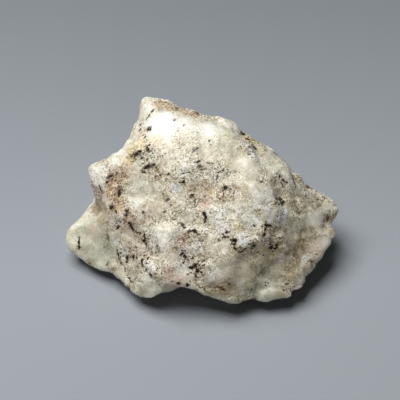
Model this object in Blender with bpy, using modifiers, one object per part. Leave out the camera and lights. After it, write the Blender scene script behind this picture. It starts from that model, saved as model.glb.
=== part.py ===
"""Tugtupite: one rough, broken lump of tugtupite-bearing rock, lying on a small flat spot.

Metres, +Z up. The origin is on the table, under the middle of the lump.
The lump is a wedge: high along the back, sloping down to the front at about the
tilt of its broad face. Its corners are placed by hand, skinned with flat fracture
faces, and then given the relief of a broken surface by rules.
"""

import math

import bmesh
import bpy
from mathutils import Vector, noise

MM = 0.001

# The broad face is measured square on: how far across it and how far up it.
FACE_TILT = math.radians(50.0)  # the way the broad face looks, above the horizon
FACE_CENTRE_HEIGHT = 13.0  # mm, height above the table of the face's own zero point
HEART = Vector((0.0, -1.0, 11.0)) * MM  # a point that sees every corner of the lump

SKIN_CELL = 0.6 * MM  # cell of the even skin that the wear is worked into
ROUNDING = 3  # smoothing passes that take the sharpness off the big corners
EDGE_WEAR = 2  # smoothing passes that take it off the broken flats
TRIANGLES = 9400  # in the finished solid
NOISE_SEED = 17
TABLE_TOUCH = 0.08 * MM  # what is this near the table lies on it

# The relief of the broken surface, in mm.
SWELL_SIZE = 7.0
SWELL_HEIGHT = 0.8
FLAKES = {  # name: (width, slope, step from one to the next)
    "big": (5.5, 0.16, 0.25),
    "small": (2.6, 0.13, 0.16),
}
WANDER_SIZE = 5.0  # how the flakes' edges wander
WANDER_REACH = 1.2
SPOT_CALM = 0.8  # how much of the flaking a smooth spot lacks
SPOT_EDGE = 1.6  # how sharply a smooth spot ends

# Places on the lump that stayed smooth: name: (x, y, z, how far they reach), all in mm.
SMOOTH_SPOTS = {
    "lobe": (-24, -4, 6, 11),
    "white_facet": (-6, 11, 26, 7),
    "peak_knob": (-11, 17, 26, 4),
}

# Corners of the outline of the broad face, clockwise from the peak:
# name: (mm across, mm up the face, mm above the table).
RIM = {
    "peak": (-11.4, 22, 25),
    "peak_right": (-7.8, 21.6, 25),
    "strip_top": (-3.5, 19.5, 24.5),
    "back_notch": (0, 18, 24.5),
    "back_mid": (4, 17, 23.5),
    "back_right": (7.5, 16, 22),
    "rust_top": (9.5, 14.5, 21),
    "rust_low": (12, 12, 20),
    "shoulder_top": (16.5, 9, 19),
    "shoulder": (20, 5, 17.5),
    "right_slope": (23, 2.5, 15),
    "right_knob_top": (27, 0.5, 12),
    "right_tip": (29.5, -2.2, 10.5),
    "right_nick": (28, -5, 8.6),
    "right_low_knob": (29, -7, 8.5),
    "right_flank": (26.5, -10.5, 7.3),
    "right_flank_low": (23, -15, 5.5),
    "foot_right": (21, -18.8, 4.6),
    "foot_right_nick": (19, -19.8, 4.2),
    "foot_green_right": (17.3, -20.6, 4),
    "foot_green": (15.3, -21.4, 3.5),
    "foot_green_left": (11.5, -20.3, 4.1),
    "foot_mid": (7, -21.5, 4.6),
    "foot_mid_left": (3, -19.9, 5.6),
    "arch_right": (-0.2, -19.1, 7),
    "arch": (-4.6, -17.7, 8.5),
    "arch_left": (-6.6, -18.1, 7.6),
    "toe_right": (-9, -20, 4.5),
    "toe": (-10.4, -21.5, 4),
    "toe_outer": (-12.4, -20.6, 3),
    "toe_left": (-13.5, -19.5, 3.5),
    "front_left": (-15.6, -18.3, 3),
    "front_nick": (-16.9, -16.8, 3),
    "lobe_nick": (-18.4, -15.6, 2.5),
    "lobe_low": (-21.6, -15.1, 2.6),
    "lobe_front": (-25.5, -12.5, 3.4),
    "lobe_tip": (-28.3, -10.3, 4.6),
    "lobe_tip_mid": (-28.6, -8.4, 5.5),
    "lobe_tip_top": (-27.3, -5.8, 7.3),
    "lobe_back": (-24.5, -2.5, 8),
    "lobe_root": (-22.4, -1, 10),
    "left_edge": (-22.3, 1.3, 13),
    "left_nub_low": (-23.2, 4.2, 16),
    "left_nub": (-23.4, 7.3, 17),
    "left_ledge": (-19.5, 8.5, 19.5),
    "left_rise": (-16, 10.5, 21),
    "left_high": (-14, 13.5, 22),
    "peak_left": (-12.8, 17, 22.5),
    "peak_shoulder": (-12.7, 20.4, 24.5),
}

# Corners of the ridges, hollows and brows on the broad face, measured as the rim is.
FACE = {
    "knob_inner": (-10, 18.5, 26),
    "ridge_left": (-6, 18, 27),
    "ridge_mid": (-1, 16, 27),
    "ridge_right": (4, 14.5, 26),
    "white_left": (-11, 15, 25),
    "white_low": (-6.5, 12, 25.5),
    "white_right": (-1.5, 12, 26),
    "cap_right": (7.5, 12, 24.5),
    "cream": (-13.5, 11, 24.5),
    "left_bench": (-16.5, 8, 22),
    "left_bench_low": (-19.5, 6, 19),
    "dark_hollow": (-10.5, 7, 22),
    "slope_top": (-3.5, 7, 25),
    "slope_top_right": (2.5, 8, 25),
    "band_top": (10, 8, 24.5),
    "band_right": (14.5, 6, 22.5),
    "left_face": (-16, 3.5, 18),
    "rust_left": (-19, 2.5, 17),
    "face_left": (-10, 0.5, 19),
    "face_mid": (-3.5, 1, 20.5),
    "brown_hollow": (2.5, 2, 21.5),
    "band": (10.5, 1.5, 22.5),
    "band_low": (13, -1.5, 20.5),
    "pocket": (17, 1.5, 18.2),
    "right_brow": (21, -1, 15.5),
    "right_knob": (25, -3, 12.2),
    "edge_over_lobe": (-18.8, -2.8, 14.5),
    "groove_top": (-16, -3, 15.5),
    "mound": (-9.5, -3.5, 16.5),
    "face_low": (-3, -5, 16.6),
    "crest_left": (3.5, -4.5, 17.4),
    "crest": (9.5, -6, 17),
    "crest_right": (13.3, -7.3, 16.8),
    "crest_tail": (17.2, -3.8, 16.2),
    "under_crest_right": (17, -7.5, 13.9),
    "right_wall": (21, -7.5, 10.8),
    "rib_top": (-7.5, -8, 15),
    "groove_low": (-13, -8, 11.5),
    "edge_over_lobe_low": (-17, -8.5, 9),
    "rose_hollow": (-3.5, -10, 13.8),
    "crest_low_left": (2.5, -11, 13.6),
    "crest_low": (8, -9.6, 15.2),
    "shade": (13, -11, 11.8),
    "shade_right": (18.5, -12, 9),
    "low_right": (23.5, -10, 8.8),
    "low_left": (-13.5, -13.5, 7.5),
    "rib_low": (-7, -14, 12),
    "pit": (-1, -14, 10.4),
    "low_mid": (5, -15.5, 10.6),
    "low_dark": (9.5, -15.5, 9),
    "ledge_root": (14.5, -13.5, 8.4),
    "ledge_left": (10.8, -18, 5.3),
    "low_mid_left": (2.8, -15.6, 10.2),
    "green_top": (14.5, -18, 5.4),
    "low_corner": (19, -16, 7.2),
    "front_edge_left": (-16, -13.5, 6),
    "toe_top": (-11, -18, 5.8),
    "lobe_top": (-24, -4.8, 8.8),
    "lobe_fold_top": (-20.8, -2.5, 10),
    "lobe_fold": (-20.4, -6.5, 7.6),
    "lobe_fold_low": (-18.8, -11.5, 5.5),
    "lobe_mid": (-23, -8.5, 7),
    "lobe_left": (-25.5, -9, 6),
    "lobe_low_face": (-22, -12.5, 4.2),
}

# Corners of the back and the underside: name: (x, y, z) in mm.
BACK_AND_UNDER = {
    "back_peak_low": (-11, 19, 14),
    "back_low": (-4, 22, 11),
    "back_low_right": (7, 19, 10),
    "back_shoulder_low": (17, 12, 8.5),
    "back_right_low": (24, 5, 6),
    "back_left_low": (-17, 12, 11),
    "back_left": (-20.5, 7, 8),
    "back_lobe": (-25, 2.2, 5),
    "heel_left": (-16, 11.5, 4.2),
    "heel": (-3, 16.5, 3.8),
    "heel_right": (12, 12, 3.6),
    "under_lobe_tip": (-27, -5, 1.8),
    "under_lobe": (-21, -2, 1.8),
    "under_front_left": (-14, -13, 3),
    "under_front": (-1, -13.5, 3.6),
    "under_front_right": (12, -16, 2.8),
    "under_right": (20, -8, 2.2),
    "under_right_tip": (25.5, -1.5, 5),
    "base_back_left": (-4.5, 5.5, -0.7),
    "base_back": (1, 7, -0.7),
    "base_back_right": (6.5, 4, -0.7),
    "base_right": (7.5, -1.5, -0.7),
    "base_front": (2.5, -5, -0.7),
    "base_front_left": (-4, -4, -0.7),
    "base_left": (-7, 1, -0.7),
    "base_middle": (0, 1, -0.9),
}


def clear_scene():
    for obj in list(bpy.data.objects):
        bpy.data.objects.remove(obj, do_unlink=True)


def on_face(across, up, height):
    """Where a point measured on the broad face stands, in metres."""
    rise = (height - FACE_CENTRE_HEIGHT) * math.cos(FACE_TILT)
    return Vector((across, (up - rise) / math.sin(FACE_TILT), height)) * MM


def corners():
    """Every corner of the lump, in metres."""
    placed = [on_face(*point) for point in (*RIM.values(), *FACE.values())]
    return placed + [Vector(point) * MM for point in BACK_AND_UNDER.values()]


def skinned(points):
    """One closed skin of flat faces over the corners, joined as the heart sees them."""
    bm = bmesh.new()
    for point in points:
        bm.verts.new((point - HEART).normalized())
    bmesh.ops.convex_hull(bm, input=bm.verts)
    bm.verts.ensure_lookup_table()
    for vert, point in zip(bm.verts, points):
        vert.co = point
    bmesh.ops.recalc_face_normals(bm, faces=bm.faces)
    mesh = bpy.data.meshes.new("stone")
    bm.to_mesh(mesh)
    bm.free()
    return mesh


def evaluated_copy(obj):
    """The object's mesh with its modifiers worked in, which are then removed."""
    graph = bpy.context.evaluated_depsgraph_get()
    mesh = bpy.data.meshes.new_from_object(obj.evaluated_get(graph))
    obj.modifiers.clear()
    obj.data = mesh


def even_skin(obj):
    """Gives the flat-faced lump an even skin of small cells."""
    skin = obj.modifiers.new("skin", "REMESH")
    skin.mode = "VOXEL"
    skin.voxel_size = SKIN_CELL
    evaluated_copy(obj)


def rub(obj, passes):
    """Rounds corners and edges as rubbing would."""
    smooth = obj.modifiers.new("rub", "SMOOTH")
    smooth.factor = 0.5
    smooth.iterations = passes
    evaluated_copy(obj)


def flake(p, width, slope, step):
    """Broken flats: each cell of the pattern has its own slope and its own level, in mm."""
    _, centres = noise.voronoi(p / width)
    own = noise.cell_vector(centres[0] * 7.3)
    return slope * own.dot(p - centres[0] * width) + step * own.z


def smoothness(p):
    """1 in the middle of a smooth spot, 0 away from all of them."""
    best = 0.0
    for x, y, z, reach in SMOOTH_SPOTS.values():
        away = (p - Vector((x, y, z))).length / reach
        best = max(best, min(1.0, 2.0 - SPOT_EDGE * away))
    return best


def relief(point):
    """How far the broken surface stands proud of the plain one here, in metres."""
    p = point / MM
    swell = SWELL_HEIGHT * noise.noise(p / SWELL_SIZE)
    bent = p + Vector(noise.noise_vector(p / WANDER_SIZE)) * WANDER_REACH
    broken = sum(flake(bent, *kind) for kind in FLAKES.values())
    return (swell + (1.0 - SPOT_CALM * smoothness(p)) * broken) * MM


def break_surface(obj):
    """Moves the skin out and in by the relief."""
    mesh = obj.data
    normals = [vert.normal.copy() for vert in mesh.vertices]
    for vert, normal in zip(mesh.vertices, normals):
        vert.co += normal * relief(vert.co)


def flatten_base(obj):
    """Cuts off all that is under the table, which leaves the flat spot it lies on."""
    bm = bmesh.new()
    bm.from_mesh(obj.data)
    geometry = bm.verts[:] + bm.edges[:] + bm.faces[:]
    bmesh.ops.bisect_plane(
        bm, geom=geometry, plane_co=(0, 0, 0), plane_no=(0, 0, -1), clear_outer=True
    )
    rim = [edge for edge in bm.edges if edge.is_boundary]
    bmesh.ops.contextual_create(bm, geom=rim)
    bmesh.ops.triangulate(bm, faces=bm.faces)
    bm.to_mesh(obj.data)
    bm.free()


def thin_out(obj):
    """Keeps small triangles where the stone is rough, and large ones where it is plain."""
    triangles = len(obj.data.polygons)
    thin = obj.modifiers.new("thin_out", "DECIMATE")
    thin.ratio = min(1.0, TRIANGLES / triangles)
    evaluated_copy(obj)


def settle(obj):
    """Puts every point of the flat spot exactly on the table."""
    for vert in obj.data.vertices:
        if vert.co.z < TABLE_TOUCH:
            vert.co.z = 0.0


def stone_material():
    material = bpy.data.materials.new("white_tugtupite_rock")
    material.use_nodes = True
    shader = material.node_tree.nodes["Principled BSDF"]
    shader.inputs["Base Color"].default_value = (0.62, 0.57, 0.46, 1.0)
    shader.inputs["Roughness"].default_value = 0.55
    shader.inputs["Metallic"].default_value = 0.0
    return material


def build():
    clear_scene()
    noise.seed_set(NOISE_SEED)
    collection = bpy.data.collections.new("tugtupite")
    bpy.context.scene.collection.children.link(collection)
    stone = bpy.data.objects.new("stone", skinned(corners()))
    collection.objects.link(stone)
    even_skin(stone)
    rub(stone, ROUNDING)
    break_surface(stone)
    rub(stone, EDGE_WEAR)
    flatten_base(stone)
    thin_out(stone)
    settle(stone)
    stone.data.materials.append(stone_material())
    stone.data.shade_smooth()
    return stone


build()
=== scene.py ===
# %% [markdown]
# # A rough piece of tugtupite rock
#
# The real thing is one broken lump, about as wide as a matchbox: a pale, sugary mass of fine
# crystals with black amphibole grains grown into it, rust and clay stains in its hollows, and a
# smooth grey-green lobe at one end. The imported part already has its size, its lumps and its
# ledges. Here it gets what the eye reads next: small broken flats, sugar grains, dark grains
# and stains. Names that end in _mm are millimetres, places and sizes that are measured in the
# camera's frame are pixels, and all other lengths are metres.

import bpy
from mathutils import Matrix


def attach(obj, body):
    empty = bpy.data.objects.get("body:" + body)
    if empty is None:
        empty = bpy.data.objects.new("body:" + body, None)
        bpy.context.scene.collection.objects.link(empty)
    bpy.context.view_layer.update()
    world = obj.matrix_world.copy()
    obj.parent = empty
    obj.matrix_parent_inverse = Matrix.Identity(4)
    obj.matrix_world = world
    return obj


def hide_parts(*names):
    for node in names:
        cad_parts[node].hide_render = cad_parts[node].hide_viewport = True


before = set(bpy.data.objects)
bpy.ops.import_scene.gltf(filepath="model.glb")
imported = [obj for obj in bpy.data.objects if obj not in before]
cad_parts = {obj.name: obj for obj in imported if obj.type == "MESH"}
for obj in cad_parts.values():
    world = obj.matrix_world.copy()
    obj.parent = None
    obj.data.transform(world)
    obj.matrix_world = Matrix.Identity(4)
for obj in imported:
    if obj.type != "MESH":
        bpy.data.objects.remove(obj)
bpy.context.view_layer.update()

# %% The libraries that the steps below use
import math

import bmesh
import bpy
import numpy as np
from mathutils import Matrix, Vector
from mathutils.bvhtree import BVHTree

MM = 0.001  # one millimetre in Blender's metres
print("Blender", bpy.app.version_string)


# %% [markdown]
# ## Four helpers
#
# Colours are written as sRGB hex, as a paint chart gives them, and the shader wants linear light,
# so one function turns them. A node tree is a list of boxes and wires, and one small function
# that adds a box with its settings and wires keeps the trees below short enough to read. Broken
# rock is full of small flats that each lean their own way, and the third function finds such a
# lean in the random colour of a Voronoi cell. The last puts a new object into the scene.

# %% Colours, nodes, leans and objects
def linear(hex_colour):
    """An sRGB hex colour as the linear RGBA that a shader reads."""
    channels = [int(hex_colour[i : i + 2], 16) / 255 for i in (1, 3, 5)]
    return tuple(
        c / 12.92 if c <= 0.04045 else ((c + 0.055) / 1.055) ** 2.4 for c in channels
    ) + (1.0,)


def add(tree, kind, wires=None, **settings):
    """Adds one node. Wires fills its inputs: a value, an output, or a node for its first output."""
    node = tree.nodes.new(kind)
    for name, value in settings.items():
        setattr(node, name, value)
    for socket, value in (wires or {}).items():
        if isinstance(value, bpy.types.Node):
            value = value.outputs[0]
        if isinstance(value, bpy.types.NodeSocket):
            tree.links.new(value, node.inputs[socket])
        else:
            node.inputs[socket].default_value = value
    return node


HALF = (0.5, 0.5, 0.5)  # taken from a random colour, it leaves a lean to either side


def lean_of(tree, cell, place):
    """Each cell's random lean, and how far a place lies from the cell's point along that lean."""
    own = add(tree, "ShaderNodeVectorMath", {0: cell["Color"], 1: HALF}, operation="SUBTRACT")
    away = add(tree, "ShaderNodeVectorMath", {0: place, 1: cell["Position"]}, operation="SUBTRACT")
    along = add(tree, "ShaderNodeVectorMath", {0: own, 1: away}, operation="DOT_PRODUCT")
    return own, along.outputs["Value"]


def placed(name, data):
    """A new object in the scene for this mesh, lamp or camera."""
    obj = bpy.data.objects.new(name, data)
    bpy.context.scene.collection.objects.link(obj)
    return obj


print("a mid grey as linear light:", round(linear("#808080")[0], 3))

# %% [markdown]
# ## The camera comes first
#
# The dark grains and the stains are placed by where they show from the front, so the camera has
# to stand still before anything is placed. A long lens from half a metre away keeps the lump's
# proportions honest, as catalogues of small things do. It looks down by 50 degrees.

# %% Camera
FRAME_PIXELS = 400
PIXELS_PER_MM = 4.77  # at the middle of the stone
VIEW_TILT = math.radians(50.0)
LENS_MM = 200.0
SENSOR_MM = 36.0
LOOK_AT = Vector((0.0, 0.0, 13.0)) * MM

back = Vector((0.0, -math.cos(VIEW_TILT), math.sin(VIEW_TILT)))
distance = FRAME_PIXELS / PIXELS_PER_MM * MM * LENS_MM / SENSOR_MM
camera = placed("camera", bpy.data.cameras.new("camera"))
camera.data.lens = LENS_MM
camera.data.sensor_width = SENSOR_MM
camera.data.clip_start = 0.01
camera.location = LOOK_AT + back * distance
camera.rotation_euler = back.to_track_quat("Z", "Y").to_euler()
bpy.context.scene.camera = camera
bpy.context.view_layer.update()
print("camera at", tuple(round(c, 4) for c in camera.location), "m, looking down by 50 degrees")

# %% [markdown]
# ## An even skin for the lump
#
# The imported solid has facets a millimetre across, which is fine for handling it and too coarse
# for its looks. The skin could be a subdivided copy, but its triangles are uneven, and relief
# worked into them would be uneven too. A voxel remesh gives the same lump a skin of equal small
# cells, and a few smoothing passes take the facets off it.

# %% The skin
SKIN_CELL = 0.279 * MM
SKIN_SMOOTHING = 8


def worked_in(obj):
    """The object's mesh with its modifiers worked in. The modifiers are then removed."""
    graph = bpy.context.evaluated_depsgraph_get()
    mesh = bpy.data.meshes.new_from_object(obj.evaluated_get(graph))
    obj.modifiers.clear()
    obj.data = mesh
    return obj


def merged_copy(node, name):
    """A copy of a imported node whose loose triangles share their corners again."""
    bm = bmesh.new()
    bm.from_mesh(node.data)
    bmesh.ops.remove_doubles(bm, verts=bm.verts, dist=0.0001 * MM)
    mesh = bpy.data.meshes.new(name)
    bm.to_mesh(mesh)
    bm.free()
    return placed(name, mesh)


rock = merged_copy(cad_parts["stone"], "sugary_rock")
remesh = rock.modifiers.new("skin", "REMESH")
remesh.mode = "VOXEL"
remesh.voxel_size = SKIN_CELL
smooth = rock.modifiers.new("smooth", "SMOOTH")
smooth.factor = 0.5
smooth.iterations = SKIN_SMOOTHING
worked_in(rock)
print("skin:", len(rock.data.vertices), "points")

# %% [markdown]
# ## Finding a place on the stone
#
# What is seen from the front is placed by where it shows in the 400 x 400 frame: a line of sight
# goes from the camera through that pixel, and the first point that it meets on the skin is the
# place. A search tree over the skin makes each look-up quick, and it also finds the nearest
# point of the skin for anything that is scattered around such a place.

# %% Lines of sight
def surface(obj):
    """The points of an object, which way each faces, and a search tree over its faces."""
    count = len(obj.data.vertices)
    places, facings = np.empty(count * 3, np.float32), np.empty(count * 3, np.float32)
    obj.data.vertices.foreach_get("co", places)
    obj.data.vertices.foreach_get("normal", facings)
    places = places.reshape(-1, 3).astype(float)
    faces = [tuple(face.vertices) for face in obj.data.polygons]
    return places, facings.reshape(-1, 3), BVHTree.FromPolygons(places.tolist(), faces)


def seen_at(column, row):
    """Where the line of sight through a pixel meets the stone, and which way it faces there."""
    across = (column / FRAME_PIXELS - 0.5) * SENSOR_MM
    up = (0.5 - row / FRAME_PIXELS) * SENSOR_MM
    ray = (sight @ Vector((across, up, -LENS_MM))).normalized()
    place, facing, _, _ = skin.ray_cast(camera.location, ray)
    if place is None:
        place, facing, _, _ = skin.find_nearest(camera.location + ray * distance)
    return place, facing


sight = camera.matrix_world.to_3x3()
points, facings, skin = surface(rock)
print("middle of the frame meets the stone at", tuple(round(c, 4) for c in seen_at(200, 200)[0]))

# %% [markdown]
# ## Ridges, seams and knobs
#
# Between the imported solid's lumps and the sugar grains there are forms a millimetre or so wide:
# thin seams where the rock parted, ridges along a break, small knobs and hollows. A sculptor
# would press them in with a brush. Here each is a stroke: a width, a height that is negative for
# a groove, and the places that it passes through. A stroke with one place is a knob or a pit.

# %% Strokes: width and height in mm, then where the stroke passes (column, row)
STROKES = {
    "peak_crack": (0.40, -0.12, (153, 109), (150, 114), (146, 119)),
    "rim_of_the_flat": (0.50, 0.08, (158, 112), (170, 114), (184, 118)),
    "back_hollow": (0.90, -0.10, (164, 108), (176, 109), (190, 113)),
    "fold_left": (0.40, -0.08, (199, 129), (207, 138)),
    "fold_right": (0.40, -0.06, (213, 124), (224, 130)),
    "rim_crack": (0.40, -0.15, (245, 132), (248, 141)),
    "rim_crack_low": (0.45, -0.08, (239, 151), (247, 149), (254, 148)),
    "rim_pad": (0.80, 0.15, (242, 140)),
    "cream_step": (0.50, -0.18, (126, 151), (127, 157), (130, 163)),
    "cream_pad": (0.90, 0.13, (121, 156), (114, 163)),
    "cream_hollow": (1.20, -0.18, (142, 154)),
    "long_grain_bed": (0.80, -0.13, (143, 170), (152, 167)),
    "left_nub": (1.00, 0.15, (97, 176)),
    "nub_groove": (0.60, -0.18, (105, 184), (103, 192), (100, 200)),
    "wall_ridge": (0.60, 0.14, (112, 200), (113, 214), (114, 226)),
    "lobe_groove": (0.80, -0.25, (104, 208), (107, 226), (108, 240), (110, 254)),
    "lobe_swell": (1.60, 0.13, (90, 226), (88, 244)),
    "white_ridge": (0.50, 0.21, (117, 231), (114, 238), (117, 247)),
    "ring_groove": (0.70, -0.21, (118, 224), (126, 221), (133, 227), (140, 233), (145, 241)),
    "beige_pad": (1.20, 0.12, (126, 236), (134, 242)),
    "crescent_seam": (0.40, -0.18, (117, 250), (120, 261), (126, 272), (134, 284)),
    "crescent_strip": (0.80, 0.10, (112, 252), (116, 264), (123, 276)),
    "bowl": (1.60, -0.15, (134, 262), (142, 270)),
    "small_knob": (0.80, 0.24, (143, 250)),
    "white_spur": (0.60, 0.22, (146, 263), (151, 271)),
    "mound": (1.90, 0.14, (158, 228), (168, 242)),
    "rose_hollow": (1.10, -0.15, (180, 236), (181, 246)),
    "toe_swell": (0.90, 0.13, (142, 288), (150, 293)),
    "toe_groove": (0.60, -0.06, (160, 280), (172, 281)),
    "middle_seam": (0.40, -0.10, (180, 174), (190, 172), (200, 170), (212, 165)),
    "middle_lip": (0.60, 0.07, (184, 168), (196, 166), (206, 162)),
    "upper_seam": (0.35, -0.08, (221, 172), (226, 167)),
    "centre_hollow": (1.50, -0.10, (198, 190), (212, 190)),
    "centre_ridge": (0.90, 0.11, (196, 212), (208, 224), (206, 236)),
    "pale_band": (1.00, 0.17, (250, 161), (251, 174), (254, 188), (262, 198)),
    "round_knob": (1.10, 0.20, (287, 175)),
    "round_knob_seam": (0.38, -0.13, (283, 167), (280, 175), (286, 183), (292, 181), (295, 174)),
    "brown_hollow": (0.90, -0.19, (275, 182), (279, 192)),
    "fold_one": (0.42, -0.18, (292, 186), (296, 196), (298, 209)),
    "fold_two": (0.42, -0.17, (302, 184), (305, 195), (307, 207)),
    "fold_three": (0.38, -0.11, (312, 198), (315, 210)),
    "fold_rib": (0.50, 0.10, (300, 190), (301, 204)),
    "crystal_bed": (1.10, 0.17, (278, 210), (286, 213)),
    "crest": (0.70, 0.18, (236, 246), (246, 245), (256, 239), (263, 230)),
    "crest_shade": (0.70, -0.07, (240, 256), (250, 253), (258, 248)),
    "seam_down": (0.80, -0.28, (279, 224), (275, 238), (272, 250), (266, 264), (261, 277)),
    "mottled_knob": (1.30, 0.19, (285, 240)),
    "brown_line": (0.45, -0.29, (303, 233), (299, 246), (294, 260)),
    "brown_line_low": (0.45, -0.21, (279, 252), (288, 254), (296, 252)),
    "rim_bulge": (1.40, 0.21, (316, 220), (318, 232)),
    "rim_hole": (0.65, -0.34, (328, 217), (325, 228)),
    "rim_spot": (0.60, -0.21, (311, 263)),
    "pale_knob": (0.70, 0.18, (305, 258)),
    "foot_step": (0.55, -0.18, (249, 284), (257, 279), (264, 271)),
    "foot_flat": (0.60, 0.14, (262, 285), (272, 284), (283, 286)),
    "foot_hollow": (0.80, -0.18, (219, 285), (228, 289)),
    "low_pad": (1.20, 0.08, (214, 262), (215, 274)),
    "left_nub_low": (1.20, 0.25, (96, 186)),
    "green_foot": (1.50, 0.60, (271, 292), (278, 293)),
    "front_strip_rim": (1.30, 0.40, (112, 268), (119, 275), (126, 283)),
    "seam_bead": (0.70, 0.22, (271, 244)),
    "crest_bead": (0.80, 0.20, (246, 247)),
    "crest_lump": (1.00, 0.20, (228, 231)),
    "round_bead": (0.70, 0.18, (289, 179)),
    "mound_bead": (0.80, 0.18, (176, 236)),
    "mound_step": (0.80, 0.18, (156, 236)),
    "mound_step_low": (0.80, 0.18, (164, 249)),
    "mound_low": (1.80, 0.40, (158, 248), (170, 247)),
    "crest_lump_low": (1.20, 0.40, (229, 236)),
    "round_low": (0.90, 0.40, (291, 183)),
    "band_low": (1.40, 0.40, (266, 203), (272, 200)),
    "wall_low": (1.30, 0.40, (253, 262), (263, 268)),
    "toe_low": (1.10, 0.40, (137, 286)),
    "nub_step": (1.20, 0.40, (104, 184)),
    "rim_step": (1.20, 0.40, (252, 158)),
    "milky_step": (1.00, 0.35, (147, 210)),
    "left_slope": (2.00, 0.35, (116, 151), (124, 147)),
    "right_low_rim": (2.00, 0.55, (318, 255), (312, 264), (306, 273)),
    "lobe_low_rim": (1.60, 0.30, (88, 258), (97, 264)),
}
STROKE_STEP = 2.0  # pixels between the places where a stroke presses


def places_along(stops):
    """Places on the skin along a stroke, a couple of pixels apart."""
    found = [seen_at(*stops[0])[0]]
    for (column, row), (next_column, next_row) in zip(stops, stops[1:]):
        steps = max(1, round(math.hypot(next_column - column, next_row - row) / STROKE_STEP))
        for step in range(1, steps + 1):
            share = step / steps
            stop = column + (next_column - column) * share, row + (next_row - row) * share
            found.append(seen_at(*stop)[0])
    return np.array(found)


lift = np.zeros(len(points))
for width_mm, height_mm, *stops in STROKES.values():
    apart = np.min([np.linalg.norm(points - spot, axis=1) for spot in places_along(stops)], axis=0)
    lift += height_mm * MM * np.exp(-((apart / (width_mm * MM)) ** 2))
print("strokes:", len(STROKES), "from", round(lift.min() / MM, 2), "to", round(lift.max() / MM, 2), "mm")

# %% [markdown]
# The hidden sides have the same kinds of form. Short strokes are drawn there at random, each from
# a place on the skin towards another one a few millimetres away.

# %% Strokes on the hidden sides
HIDDEN_STROKES = 90
HIDDEN_REACH_MM = 2.2  # how far a stroke's end strays from its start
HIDDEN_HEIGHT_MM = (0.16, 0.40)  # up or down
HIDDEN_WIDTH_MM = (0.5, 1.3)
EDGE_ON = 0.05  # a point that faces the camera by less than this counts as hidden
TABLE_FADE_MM = 1.5  # the strokes fade out this near the table, so that the flat spot stays flat
hidden = np.flatnonzero(facings @ np.array(back) < EDGE_ON)
stroke_chance = np.random.default_rng(23)
for start in points[stroke_chance.choice(hidden, HIDDEN_STROKES)]:
    end = start + stroke_chance.normal(0, HIDDEN_REACH_MM * MM, 3)
    along = [start + (end - start) * share for share in (0, 0.25, 0.5, 0.75, 1)]
    stops = [skin.find_nearest(Vector(stop))[0] for stop in along]
    apart = np.min([np.linalg.norm(points - np.array(spot), axis=1) for spot in stops], axis=0)
    height_mm = stroke_chance.uniform(*HIDDEN_HEIGHT_MM) * stroke_chance.choice([-1, 1])
    width_mm = stroke_chance.uniform(*HIDDEN_WIDTH_MM)
    lift += height_mm * MM * np.exp(-((apart / (width_mm * MM)) ** 2))
off_the_table = np.clip(points[:, 2] / (TABLE_FADE_MM * MM), 0, 1)
moved = points + facings * (lift * off_the_table)[:, None]
rock.data.vertices.foreach_set("co", moved.astype(np.float32).ravel())
rock.data.update()
points, facings, skin = surface(rock)
print("strokes on the hidden sides:", HIDDEN_STROKES)

# %% [markdown]
# ## The smooth parts
#
# Not all of the lump broke in the same way. The lobe at the left, the big flat below the peak and
# a few other patches parted along smooth joints, and the rest crumbled into sugar. Each smooth
# patch is a place and a radius, and together they make one number for each point of the skin,
# calm, which is 1 on a smooth patch and 0 on the crumbled rock. It could be painted by hand, but
# a list is easier to change later. The relief below and the finish both read it.

# %% Smooth patches: column, row, radius in mm, how smooth
CALM_PATCHES = {
    "lobe": (88, 236, 5.5, 1.0),
    "lobe_foot": (98, 256, 4.0, 1.0),
    "white_flat_left": (162, 128, 4.0, 1.0),
    "white_flat_right": (180, 126, 3.5, 1.0),
    "peak_knob": (148, 108, 2.5, 1.0),
    "left_ledge": (128, 146, 1.6, 0.8),
    "top_right": (214, 129, 3.8, 0.85),
    "under_the_top": (206, 146, 2.4, 0.6),
    "milky_middle": (157, 204, 2.8, 0.8),
    "milky_left": (141, 191, 3.0, 0.7),
    "pale_band_top": (250, 172, 2.6, 0.9),
    "pale_band_low": (256, 196, 2.4, 0.8),
    "toe": (152, 290, 2.4, 1.0),
    "green_foot": (268, 290, 3.4, 1.0),
    "shaded_flat": (236, 272, 4.6, 0.8),
    "shaded_right": (280, 262, 4.0, 0.7),
    "right_wall": (302, 232, 4.0, 0.6),
    "right_shoulder": (292, 196, 3.4, 0.5),
    "right_rim": (320, 238, 3.0, 0.7),
    "strip_beside_lobe": (114, 262, 1.8, 0.9),
    "strip_foot": (120, 274, 1.4, 0.9),
    "beige_pad": (126, 238, 2.2, 0.8),
    "wall_over_lobe": (102, 214, 2.0, 0.9),
    "mound": (166, 234, 2.4, 0.6),
    "left_rim": (118, 156, 1.8, 0.8),
    "round_knob": (287, 175, 1.2, 0.8),
    "rim_bulge": (316, 224, 1.8, 0.8),
    "above_the_seam": (224, 148, 3.4, 0.8),
    "above_the_band": (240, 160, 2.6, 0.85),
    "band_shoulder": (268, 162, 2.4, 0.85),
    "band_middle": (252, 184, 2.4, 0.9),
}
PATCH_EDGE = 0.55  # the share of a patch's radius over which it fades out


def near_share(centre, radius_mm, edge=PATCH_EDGE):
    """1 inside a patch and 0 away from it, for each point of the skin."""
    away = np.linalg.norm(points - np.array(centre), axis=1) / (radius_mm * MM)
    near = np.clip((1.0 + edge - away) / (2 * edge), 0, 1)
    return near * near * (3 - 2 * near)


def store(name, values):
    """Keeps one number for each point of the skin, for the trees and the finish to read."""
    attribute = rock.data.attributes.new(name, "FLOAT", "POINT")
    attribute.data.foreach_set("value", np.asarray(values, np.float32))


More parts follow.
